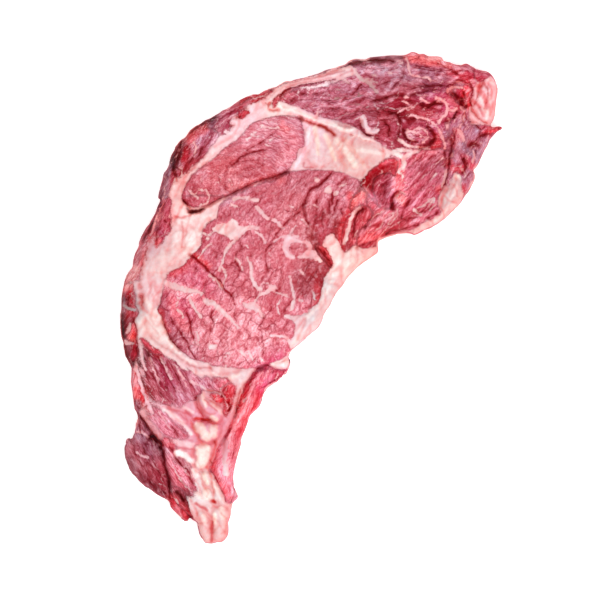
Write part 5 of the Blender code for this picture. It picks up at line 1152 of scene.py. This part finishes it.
def filled(ring_index, spacing, margin):
    """Fills a ring with evenly spread points."""
    global XY, Z
    ring = XY[ring_start[ring_index] : ring_start[ring_index] + count]
    lo, hi = ring.min(0), ring.max(0)
    rows = np.arange(lo[1], hi[1], spacing * math.sqrt(3) / 2)
    pts = []
    for k, r in enumerate(rows):
        c = np.arange(lo[0] + (0.5 * spacing if k % 2 else 0), hi[0], spacing)
        pts.append(np.column_stack([c, np.full(len(c), r)]))
    pts = np.vstack(pts)
    pts = pts + (np.random.default_rng(5).random(pts.shape) - 0.5) * 0.18 * spacing
    pts = pts[read(RIM, pts[:, 0], pts[:, 1]) > margin]
    # drop what lies outside the ring or too close to it
    inside = np.zeros(len(pts), bool)
    for a, b in zip(ring, np.roll(ring, -1, axis=0)):
        dx, dy = b - a
        if abs(dy) > 1e-12:
            inside ^= ((a[1] > pts[:, 1]) != (b[1] > pts[:, 1])) & (pts[:, 0] < dx * (pts[:, 1] - a[1]) / dy + a[0])
    pts = pts[inside]
    close = read(RIM, pts[:, 0], pts[:, 1]) < margin + 2.5 * spacing + 3
    keep = np.ones(len(pts), bool)
    rim_pts = pts[close]
    dist = np.full(len(rim_pts), 1e9)
    for a in ring:
        dist = np.minimum(dist, (rim_pts[:, 0] - a[0]) ** 2 + (rim_pts[:, 1] - a[1]) ** 2)
    keep[np.where(close)[0][dist < (0.62 * spacing) ** 2]] = False
    pts = pts[keep]
    coords = [Vector((float(a), float(b))) for a, b in np.vstack([ring, pts])]
    edges = [(i, (i + 1) % count) for i in range(count)]
    out, _, tris, orig, _, _ = delaunay_2d_cdt(coords, edges, [], 1, 1e-6, True)
    index = np.empty(len(out), int)
    extra = []
    base = len(XY)
    for n, o in enumerate(orig):
        if len(o) and o[0] < count:
            index[n] = ring_start[ring_index] + o[0]
        else:
            index[n] = base + len(extra)
            extra.append((out[n][0], out[n][1]))
    extra = np.array(extra)
    tri = index[np.array([t for t in tris if len(t) == 3])]
    # a triangle outside the ring has all its corners on it
    first = ring_start[ring_index]
    on_ring = ((tri >= first) & (tri < first + count)).all(1)
    middle = XY[np.where(on_ring[:, None], tri, first)].mean(1)
    tri = tri[~on_ring | (inside_distance(middle[:, 0], middle[:, 1], ring) > 0)]
    XY = np.vstack([XY, extra])
    return extra, tri


extra, tri = filled(n_upper - 1, TOP_STEP, insets[-1])
# The outline's march inwards is even only nearly, so the height near it uses the distance read there.
top_z = height(extra[:, 0], extra[:, 1])
Z = np.concatenate([Z, top_z])
faces.append(tri)
kinds.append(np.full(len(tri), 0))
n_top = len(XY)
extra, tri = filled(rings - 1, FOOT_STEP, 2.0)
foot_z = 0.45 * cloud(extra[:, 0], extra[:, 1], 12, 301, 2) ** 2 * step(0, 6, read(RIM, extra[:, 0], extra[:, 1]) - FOOT_IN)
Z = np.concatenate([Z, foot_z])
faces.append(tri)
kinds.append(np.full(len(tri), 2))
faces, kinds = np.vstack(faces), np.concatenate(kinds)

X, Y = plan(XY[:, 0], XY[:, 1])
co = np.column_stack([X, Y, Z * 1e-3])
# every triangle of the cut face and the walls faces out
a, b, c = co[faces[:, 0]], co[faces[:, 1]], co[faces[:, 2]]
normal = np.cross(b - a, c - a)
turn = ((kinds == 0) & (normal[:, 2] < 0)) | ((kinds == 2) & (normal[:, 2] > 0))
faces[turn] = faces[turn][:, ::-1]

mesh = bpy.data.meshes.new("steak")
mesh.from_pydata(co.tolist(), [], faces.tolist())
mesh.validate()
import bmesh

bm = bmesh.new()
bm.from_mesh(mesh)
bmesh.ops.recalc_face_normals(bm, faces=bm.faces)
if bm.calc_volume(signed=True) < 0:
    bmesh.ops.reverse_faces(bm, faces=bm.faces)
open_edges = sum(1 for e in bm.edges if len(e.link_faces) != 2)
print("steak mesh: faces", len(bm.faces), "open edges", open_edges, "volume cm3", round(bm.calc_volume() * 1e6, 1))
bm.to_mesh(mesh)
bm.free()
mesh.shade_smooth()
steak = bpy.data.objects.new("Steak", mesh)
bpy.context.scene.collection.objects.link(steak)

# ------------------------------------------------------------------ attributes of the points
nv = len(co)
lean_v, fat_v = read(LEAN_RGB, XY[:, 0], XY[:, 1]), read(FAT_RGB, XY[:, 0], XY[:, 1])
gap_v, fat_d = read(GAP, XY[:, 0], XY[:, 1]), read(FAT, XY[:, 0], XY[:, 1])
grain_v = np.column_stack([read(GRAIN_U, XY[:, 0], XY[:, 1]), read(GRAIN_V, XY[:, 0], XY[:, 1]), read(STREAK, XY[:, 0], XY[:, 1])])
net_v = read(NET, XY[:, 0], XY[:, 1])


def around(values, soft):
    """Values at the points of a ring softened over this many points to each side."""
    k = np.arange(-3 * soft, 3 * soft + 1)
    w = np.exp(-(k**2) / (2.0 * soft**2))
    return sum(wi * np.roll(values, ki, axis=0) for ki, wi in zip(k, w / w.sum()))


# The walls: the colours of the rim run on without their detail; the left wall is dark outer muscle under thin
# membrane, the right one fat with veins of muscle.
wall = np.zeros(nv)
near, far = march(ring0, 3.0), march(ring0, 8.0)
lean_near, lean_far = (around(read(LEAN_RGB, p[:, 0], p[:, 1]), m) for p, m in ((near, 8), (far, 16)))
fat_near, fat_far = (around(read(FAT_RGB, p[:, 0], p[:, 1]), m) for p, m in ((near, 5), (far, 9)))
base = around(np.clip(read(FAT, near[:, 0], near[:, 1]), -2.5, 2.5), 5)
left = step(0.25, 0.60, np.clip((290 - ring0[:, 0]) / 160 + (ring0[:, 1] < 130) * 0.3, 0, 1))
thick = read(THICK, ring0[:, 0], ring0[:, 1])
# the grain runs on over the shoulder and down the walls by how far they have dropped
drop = (read(THICK, XY[:, 0], XY[:, 1]) - read(SHAPE, XY[:, 0], XY[:, 1])) / (SQUARE * 1e3)
drop[n_top:] = (thick.mean()) / (SQUARE * 1e3)
for k in range(rings):
    i = slice(ring_start[k], ring_start[k] + count)
    drop[i] = (thick - Z[i]) / (SQUARE * 1e3)
grain_v[:, 0] += 0.30 * drop
grain_v[:, 1] += 0.12 * drop
for k in range(rings):
    i = slice(ring_start[k], ring_start[k] + count)
    z = Z[i]
    into = 1.0 if k >= n_upper else (1.0, 1.0, 1.0, 0.9, 0.7, 0.4)[k]  # how far this ring has left the face behind
    wander = s + 8.0 * (cloud(s, z * 1.3, 13.0, 403, 2) - 0.5)
    other = step(0.38, 0.62, cloud(wander, z * 1.5, 16.0, 407, 3))
    patch = cloud(wander * 0.8, z * 1.1, 13.0, 411, 3) - 0.5
    fine_patch = cloud(wander, z * 0.8, 4.5, 415, 2) - 0.5
    tone = 0.95 - 1.1 * fine_patch - 0.9 * (cloud(s, z, 21, 419, 2) - 0.5)
    meat_c = (lean_near * (1 - other[:, None]) + lean_far * other[:, None]) * np.stack([tone**0.7, tone**1.4, tone**1.3], -1)
    fat_c = (fat_near * (1 - other[:, None]) + fat_far * other[:, None]) * (1 - np.array([0.03, 0.20, 0.22]) * (1 + 3.0 * np.clip(patch + fine_patch, -0.4, 0.6))[:, None])
    edge_d = 0.45 * base + 11.0 * patch + 3.5 * fine_patch - 1.2 * left + 0.45 * (1 - left)
    vein = creases(wander * 0.8, z * 0.40, 11.0, 423)
    edge_d = np.maximum(edge_d, np.where(cloud(s, z, 25, 427, 2) > 0.52, 0.9 - vein * 0.8, -3))
    red_vein = creases(wander * 0.9, z * 0.45, 15.0, 439)
    edge_d = np.minimum(edge_d, np.where(cloud(s, z, 19, 443, 2) > 0.50, red_vein * 0.9 - 0.9, 3))
    fold = creases(s, z * 0.35, 12.0, 431)
    fold_d = (0.42 - fold) * step(0.46, 0.62, cloud(s, z, 22, 435, 2)) - 0.55
    lean_v[i] += (meat_c - lean_v[i]) * into
    fat_v[i] += (fat_c - fat_v[i]) * into
    fat_d[i] += (edge_d - fat_d[i]) * into
    gap_v[i] += (fold_d - gap_v[i]) * into
    net_v[i] *= 1 - into
    wall[i] = into if k < rings - 1 else 0.6
LEAN_GAIN = np.array([1.0, 0.77, 0.79])
FAT_GAIN = np.array([0.80, 0.80, 0.80])
normals = np.empty(nv * 3, np.float32)
mesh.vertices.foreach_get("normal", normals)
steep = np.clip((0.82 - normals.reshape(-1, 3)[:, 2]) / 0.40, 0, 1)
steep = np.maximum(steep, read(CALM, XY[:, 0], XY[:, 1]))
for name, kind, data in (
    ("lean", "FLOAT_COLOR", np.column_stack([np.clip(lean_v * LEAN_GAIN, 0, 1), net_v])),
    ("fat", "FLOAT_COLOR", np.column_stack([np.clip(fat_v * FAT_GAIN, 0, 1), steep])),
    ("marks", "FLOAT_VECTOR", np.column_stack([fat_d, gap_v, wall])),
    ("grain", "FLOAT_VECTOR", grain_v),
):
    made = mesh.attributes.new(name, kind, "POINT")
    made.data.foreach_set("color" if kind == "FLOAT_COLOR" else "vector", data.astype(np.float32).ravel())

# ------------------------------------------------------------------ map for baking: the cut face large, the foot and the walls beside it
uv = mesh.uv_layers.new(name="OFBake")
loop_vertex = np.empty(len(mesh.loops), np.int32)
mesh.loops.foreach_get("vertex_index", loop_vertex)
face_loops = loop_vertex.reshape(-1, 3)
lo, hi = co[:, :2].min(0), co[:, :2].max(0)
scale = 0.98 / (hi - lo)[1]
ring_of = np.where(np.arange(nv) < rings * count, np.arange(nv) // count, -1)
foot_vertex = np.zeros(nv, bool)
foot_vertex[n_top:] = True
foot_vertex[ring_start[rings - 1] : ring_start[rings - 1] + count] = True
wall_vertex = np.zeros(nv, bool)
wall_vertex[ring_start[n_upper] : ring_start[rings - 1] + count] = True
is_foot = foot_vertex[face_loops].all(1)
is_wall = ~is_foot & wall_vertex[face_loops].any(1)
flat = (co[:, :2] - lo) * scale + 0.01
small = (co[:, :2] - lo) * scale * 0.30 + np.array([0.775, 0.01])
uvs = np.where(is_foot[:, None, None], small[face_loops], flat[face_loops])
arc_v = np.zeros(nv)
arc_v[: rings * count] = np.tile(s, rings)
part = arc_v[face_loops]
wraps = (part.max(1) - part.min(1)) > total[-1] / 2
part = np.where(wraps[:, None] & (part < total[-1] / 2), part + total[-1], part)
strips = 4
which = np.minimum((part.min(1) / total[-1] * strips).astype(int), strips - 1)
along = (part - which[:, None] * total[-1] / strips) / (total[-1] / strips)
depth = np.zeros(nv)
for k in range(n_upper, rings):
    depth[ring_start[k] : ring_start[k] + count] = (k - n_upper + 1) / (rings - n_upper)
wall_uv = np.stack([0.780 + which[:, None] * 0.052 + depth[face_loops] * 0.044, 0.36 + along * 0.60], -1)
uvs = np.where(is_wall[:, None, None], wall_uv, uvs)
uv.data.foreach_set("uv", uvs.astype(np.float32).ravel())


# ------------------------------------------------------------------ material
def new_material(name):
    made = bpy.data.materials.new(name)
    made.use_nodes = True
    made.node_tree.nodes.clear()
    return made, made.node_tree


class Nodes:
    """Short names for the nodes used below."""

    def __init__(self, tree):
        self.tree = tree

    def put(self, socket, value):
        if isinstance(value, bpy.types.NodeSocket):
            self.tree.links.new(value, socket)
        elif value is not None:
            socket.default_value = value

    def math(self, kind, a, b=None, c=None, clamp=False):
        n = self.tree.nodes.new("ShaderNodeMath")
        n.operation, n.use_clamp = kind, clamp
        for socket, value in zip(n.inputs, (a, b, c)):
            self.put(socket, value)
        return n.outputs[0]

    def vector(self, kind, a, b):
        n = self.tree.nodes.new("ShaderNodeVectorMath")
        n.operation = kind
        self.put(n.inputs[0], a)
        self.put(n.inputs[1], b)
        return n.outputs[0]

    def mix(self, share, a, b, kind="MIX"):
        n = self.tree.nodes.new("ShaderNodeMix")
        n.data_type, n.blend_type = "RGBA", kind
        n.clamp_factor = True
        self.put(n.inputs[0], share)
        self.put(n.inputs[6], a)
        self.put(n.inputs[7], b)
        return n.outputs[2]

    def ramp(self, value, lo, hi, to_lo=0.0, to_hi=1.0, smooth=True):
        n = self.tree.nodes.new("ShaderNodeMapRange")
        n.interpolation_type = "SMOOTHSTEP" if smooth else "LINEAR"
        n.clamp = True
        for socket, v in zip(n.inputs, (value, lo, hi, to_lo, to_hi)):
            self.put(socket, v)
        return n.outputs[0]

    def noise(self, vector, scale, detail=2.0, rough=0.55, dims="3D", distortion=0.0):
        n = self.tree.nodes.new("ShaderNodeTexNoise")
        n.noise_dimensions = dims
        self.put(n.inputs["Vector"], vector)
        n.inputs["Scale"].default_value = scale
        n.inputs["Detail"].default_value = detail
        n.inputs["Roughness"].default_value = rough
        n.inputs["Distortion"].default_value = distortion
        return n.outputs[0]

    def colour_noise(self, vector, scale):
        n = self.tree.nodes.new("ShaderNodeTexNoise")
        n.noise_dimensions = "2D"
        self.put(n.inputs["Vector"], vector)
        n.inputs["Scale"].default_value = scale
        return n.outputs["Color"]

    def voronoi(self, vector, scale, feature="DISTANCE_TO_EDGE"):
        n = self.tree.nodes.new("ShaderNodeTexVoronoi")
        n.feature = feature
        n.voronoi_dimensions = "2D"
        self.put(n.inputs["Vector"], vector)
        n.inputs["Scale"].default_value = scale
        return n.outputs["Distance"]

    def attribute(self, name, output="Vector"):
        n = self.tree.nodes.new("ShaderNodeAttribute")
        n.attribute_name = name
        return n.outputs[output]

    def split(self, vector):
        n = self.tree.nodes.new("ShaderNodeSeparateXYZ")
        self.put(n.inputs[0], vector)
        return n.outputs

    def join(self, x, y, z):
        n = self.tree.nodes.new("ShaderNodeCombineXYZ")
        for socket, v in zip(n.inputs, (x, y, z)):
            self.put(socket, v)
        return n.outputs[0]

    def bump(self, height, distance, strength, normal=None):
        n = self.tree.nodes.new("ShaderNodeBump")
        n.inputs["Distance"].default_value = distance
        n.inputs["Strength"].default_value = strength
        self.put(n.inputs["Height"], height)
        self.put(n.inputs["Normal"], normal)
        return n.outputs[0]


beef, tree = new_material("raw_beef_cut")
N = Nodes(tree)
coords = tree.nodes.new("ShaderNodeTexCoord").outputs["Object"]
lean = N.attribute("lean", "Color")
net_s = N.attribute("lean", "Alpha")
fat = N.attribute("fat", "Color")
steep_s = N.attribute("fat", "Alpha")
fat_in, dark, wall_s = N.split(N.attribute("marks"))
gu, gv, gs = N.split(N.attribute("grain"))

# the grain: fine fibres along the run of each muscle, on the walls plain noise drawn out upwards
fibre_at = N.join(gu, gv, 0.0)
fibre = N.noise(fibre_at, 0.50, 3.0, 0.62, "2D", 0.4)
fibre_fine = N.noise(fibre_at, 1.5, 2.0, 0.6, "2D")
bundle_at = N.vector("ADD", fibre_at, N.vector("MULTIPLY", N.colour_noise(fibre_at, 0.35), (3.0, 3.0, 0.0)))
bundle = N.voronoi(bundle_at, 0.30)
wall_at = tree.nodes.new("ShaderNodeMapping")
wall_at.inputs["Scale"].default_value = (1.0, 1.0, 0.4)
tree.links.new(coords, wall_at.inputs[0])
wall_fibre = N.noise(wall_at.outputs[0], 900.0, 3.0, 0.6)
fibre = N.mix(wall_s, fibre, wall_fibre)
grit = N.noise(coords, 1500.0, 2.0, 0.6)
speck = N.noise(coords, 3200.0, 1.0, 0.5)

# muscle: dark wet gaps; the pale tops of the bundles are a painted highlight
tone = N.math("ADD", N.math("MULTIPLY", fibre, 0.60), N.math("MULTIPLY", fibre_fine, 0.24))
tone = N.math("ADD", tone, N.math("MULTIPLY", grit, 0.16))
deep = N.mix(1.0, lean, (0.84, 0.52, 0.57, 1), "MULTIPLY")
deep = N.mix(N.math("MULTIPLY", gs, 0.75), deep, N.mix(1.0, lean, (0.58, 0.19, 0.26, 1), "MULTIPLY"))
lean_r = N.split(lean)[0]
# painted highlight: a pink lift added to the pale tops
highlight_lift = N.vector("MULTIPLY", N.join(lean_r, lean_r, lean_r), (0.19, 0.13, 0.145))
highlight_lift = N.mix(gs, highlight_lift, N.vector("MULTIPLY", highlight_lift, (1.35, 1.30, 1.30)))
pale = N.mix(1.0, N.mix(1.0, lean, (1.06, 1.45, 1.40, 1), "MULTIPLY"), highlight_lift, "ADD")
low_tone = N.ramp(tone, 0.33, 0.50, 0.0, 1.0, False)
high_tone = N.ramp(tone, 0.49, 0.66, 0.0, 1.0, False)
meat = N.mix(low_tone, deep, lean)
meat = N.mix(high_tone, meat, pale)
seam = N.ramp(bundle, 0.02, 0.11, 1.0, 0.0)
seam = N.math("MULTIPLY", seam, N.ramp(N.noise(fibre_at, 0.09, 1.0, 0.5, "2D"), 0.42, 0.60))
seam = N.math("MULTIPLY", seam, N.math("SUBTRACT", N.math("ADD", 0.40, N.math("MULTIPLY", gs, 0.30)), N.math("MULTIPLY", wall_s, 0.4)))
meat = N.mix(seam, meat, N.mix(1.0, lean, (0.66, 0.22, 0.28, 1), "MULTIPLY"))

# the net of cracks: long ones round groups of bundles, short ones inside them
net_at = N.vector("ADD", fibre_at, N.vector("MULTIPLY", N.vector("SUBTRACT", N.colour_noise(fibre_at, 0.13), (0.5, 0.5, 0.5)), (2.6, 2.6, 0.0)))
net_at = N.vector("ADD", net_at, N.vector("MULTIPLY", N.vector("SUBTRACT", N.colour_noise(fibre_at, 0.40), (0.5, 0.5, 0.5)), (0.7, 0.7, 0.0)))
big_d = N.voronoi(net_at, 0.085)
fine_d = N.voronoi(net_at, 0.19)
big_open = N.ramp(N.noise(fibre_at, 0.07, 2.0, 0.5, "2D"), 0.38, 0.52)
fine_open = N.ramp(N.noise(fibre_at, 0.11, 2.0, 0.5, "2D"), 0.44, 0.60)
big = N.math("MULTIPLY", N.ramp(big_d, 0.012, 0.070, 1.0, 0.0), big_open)
fine_net = N.math("MULTIPLY", N.ramp(fine_d, 0.02, 0.11, 1.0, 0.0), fine_open)
net = N.math("MULTIPLY", N.math("MAXIMUM", N.math("MULTIPLY", big, 0.85), N.math("MULTIPLY", fine_net, 0.45)), net_s)
soft = N.math("MULTIPLY", N.ramp(big_d, 0.03, 0.20, 1.0, 0.0), big_open)
soft = N.math("MAXIMUM", soft, N.math("MULTIPLY", N.math("MULTIPLY", N.ramp(fine_d, 0.04, 0.26, 1.0, 0.0), fine_open), 0.7))
meat = N.mix(N.math("MULTIPLY", soft, N.math("MULTIPLY", net_s, 0.42)), meat, N.mix(1.0, meat, (0.92, 0.60, 0.66, 1), "MULTIPLY"))
# painted highlight: the middles of the small cells are paler
cell_highlight = N.math("MULTIPLY", N.ramp(fine_d, 0.22, 0.42), N.math("MULTIPLY", net_s, 0.30))
meat = N.mix(cell_highlight, meat, (0.90, 0.50, 0.56, 1))

# fat: clean, pinker where it thins out to the muscle
edge = N.math("ADD", fat_in, N.math("MULTIPLY", N.math("SUBTRACT", grit, 0.5), 1.9))
edge = N.math("ADD", edge, N.math("MULTIPLY", N.math("SUBTRACT", fibre, 0.5), 1.6))
is_fat = N.ramp(edge, -0.65, 0.75)
thin = N.ramp(edge, 0.2, 2.4, 1.0, 0.0)
fat_noise = N.noise(coords, 620.0, 3.0, 0.55)
fat_tone = N.ramp(fat_noise, 0.3, 0.7, 0.90, 1.05, False)
fat_rgb = N.mix(1.0, fat, N.join(N.ramp(fat_noise, 0.3, 0.7, 0.97, 1.02, False), fat_tone, fat_tone), "MULTIPLY")
fat_rgb = N.mix(N.math("MULTIPLY", thin, 0.20), fat_rgb, N.mix(0.6, fat_rgb, lean))
skin = N.mix(is_fat, meat, fat_rgb)

# gaps and cracks, darkened partly as painted shade: dark red in muscle, orange pink in fat, black only in the holes, as
# painted shadow
meat_crack = N.mix(1.0, skin, (0.48, 0.055, 0.10, 1), "MULTIPLY")
fat_crack = N.mix(1.0, skin, (0.80, 0.36, 0.34, 1), "MULTIPLY")
skin = N.mix(N.math("MULTIPLY", net, N.math("SUBTRACT", 0.85, N.math("MULTIPLY", is_fat, 0.75))), skin, meat_crack)
gap = N.math("ADD", dark, N.math("MULTIPLY", N.math("SUBTRACT", grit, 0.5), 0.8))
crack = N.ramp(gap, -0.55, 0.55, 0.0, 0.92)
shade = N.mix(is_fat, meat_crack, fat_crack)
shade = N.mix(N.ramp(gap, 0.9, 2.3), shade, (0.026, 0.0020, 0.004, 1))
skin = N.mix(crack, skin, shade)

# relief finer than the mesh
rise = N.math("ADD", N.math("MULTIPLY", fibre, 0.9), N.math("MULTIPLY", fibre_fine, 0.45))
rise = N.math("SUBTRACT", rise, N.math("MULTIPLY", seam, 0.4))
rise = N.math("SUBTRACT", rise, N.math("MULTIPLY", net, 0.7))
rise = N.math("MULTIPLY", rise, N.math("SUBTRACT", 1.0, N.math("MULTIPLY", is_fat, 0.75)))
rise = N.math("ADD", rise, N.math("MULTIPLY", grit, 0.30))
rise = N.math("SUBTRACT", rise, N.math("MULTIPLY", crack, 0.6))
normal = N.bump(rise, 0.0005, 1.0)

rough = N.math("ADD", 0.36, N.math("MULTIPLY", speck, 0.22))
rough = N.math("ADD", rough, N.math("MULTIPLY", is_fat, 0.06))
rough = N.math("ADD", rough, N.math("MULTIPLY", wall_s, 0.15))
shader = tree.nodes.new("ShaderNodeBsdfPrincipled")
out = tree.nodes.new("ShaderNodeOutputMaterial")
tree.links.new(shader.outputs[0], out.inputs[0])
tree.links.new(skin, shader.inputs["Base Color"])
tree.links.new(rough, shader.inputs["Roughness"])
tree.links.new(normal, shader.inputs["Normal"])
shader.inputs["IOR"].default_value = 1.16
shader.inputs["Metallic"].default_value = 0.0
tree.links.new(N.ramp(steep_s, 0.0, 1.0, 0.30, 0.03), shader.inputs["Specular IOR Level"])
shader.inputs["Subsurface Weight"].default_value = 0.12
shader.inputs["Subsurface Radius"].default_value = (1.0, 0.35, 0.28)
shader.inputs["Subsurface Scale"].default_value = 0.0006
mesh.materials.append(beef)

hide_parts("ribeye_steak")
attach(steak, "root")

# ------------------------------------------------------------------ floor, light and camera
floor_mesh = bpy.data.meshes.new("floor")
floor_mesh.from_pydata([(-14, -14, -0.0003), (14, -14, -0.0003), (14, 14, -0.0003), (-14, 14, -0.0003)], [], [(0, 1, 2, 3)])
floor = bpy.data.objects.new("Floor", floor_mesh)
bpy.context.scene.collection.objects.link(floor)
pale_floor, tree = new_material("pale_floor")
shader = tree.nodes.new("ShaderNodeBsdfPrincipled")
out = tree.nodes.new("ShaderNodeOutputMaterial")
tree.links.new(shader.outputs[0], out.inputs[0])
shader.inputs["Base Color"].default_value = (0.94, 0.94, 0.94, 1)
shader.inputs["Roughness"].default_value = 0.9
shader.inputs["IOR"].default_value = 1.2
shader.inputs["Emission Color"].default_value = (1.0, 1.0, 1.0, 1)
shader.inputs["Emission Strength"].default_value = 0.45
floor_mesh.materials.append(pale_floor)

world = bpy.data.worlds.new("studio")
bpy.context.scene.world = world
world.use_nodes = True
back = world.node_tree.nodes.get("Background") or world.node_tree.nodes.new("ShaderNodeBackground")
back.inputs["Color"].default_value = (1.0, 0.995, 0.99, 1)
back.inputs["Strength"].default_value = 0.66


def softbox(name, place, size, power):
    light = bpy.data.lights.new(name, "AREA")
    light.shape = "SQUARE"
    light.size = size
    light.energy = power
    light.color = (1.0, 0.985, 0.97)
    made = bpy.data.objects.new(name, light)
    made.location = place
    made.rotation_euler = (Vector((0, 0, 0.01)) - Vector(place)).to_track_quat("-Z", "Y").to_euler()
    bpy.context.scene.collection.objects.link(made)
    return made


softbox("key", (0.60, -0.60, 1.50), 1.0, 21.5)
softbox("fill", (-0.9, 0.5, 1.5), 0.9, 8.5)

lens = bpy.data.cameras.new("photo")
lens.type = "PERSP"
lens.lens = 600.0
lens.sensor_width = 36.0
lens.sensor_fit = "HORIZONTAL"
camera = bpy.data.objects.new("Camera", lens)
mid_x, mid_y = plan(300.0, 300.0)
reach = 600 * SQUARE * lens.lens / lens.sensor_width
camera.location = (mid_x, mid_y, 0.016 + reach)
camera.rotation_euler = (0, 0, 0)
lens.clip_start, lens.clip_end = 0.05, 100.0
bpy.context.scene.collection.objects.link(camera)
bpy.context.scene.camera = camera
bpy.context.scene.view_settings.view_transform = "Standard"
bpy.context.scene.view_settings.look = "None"
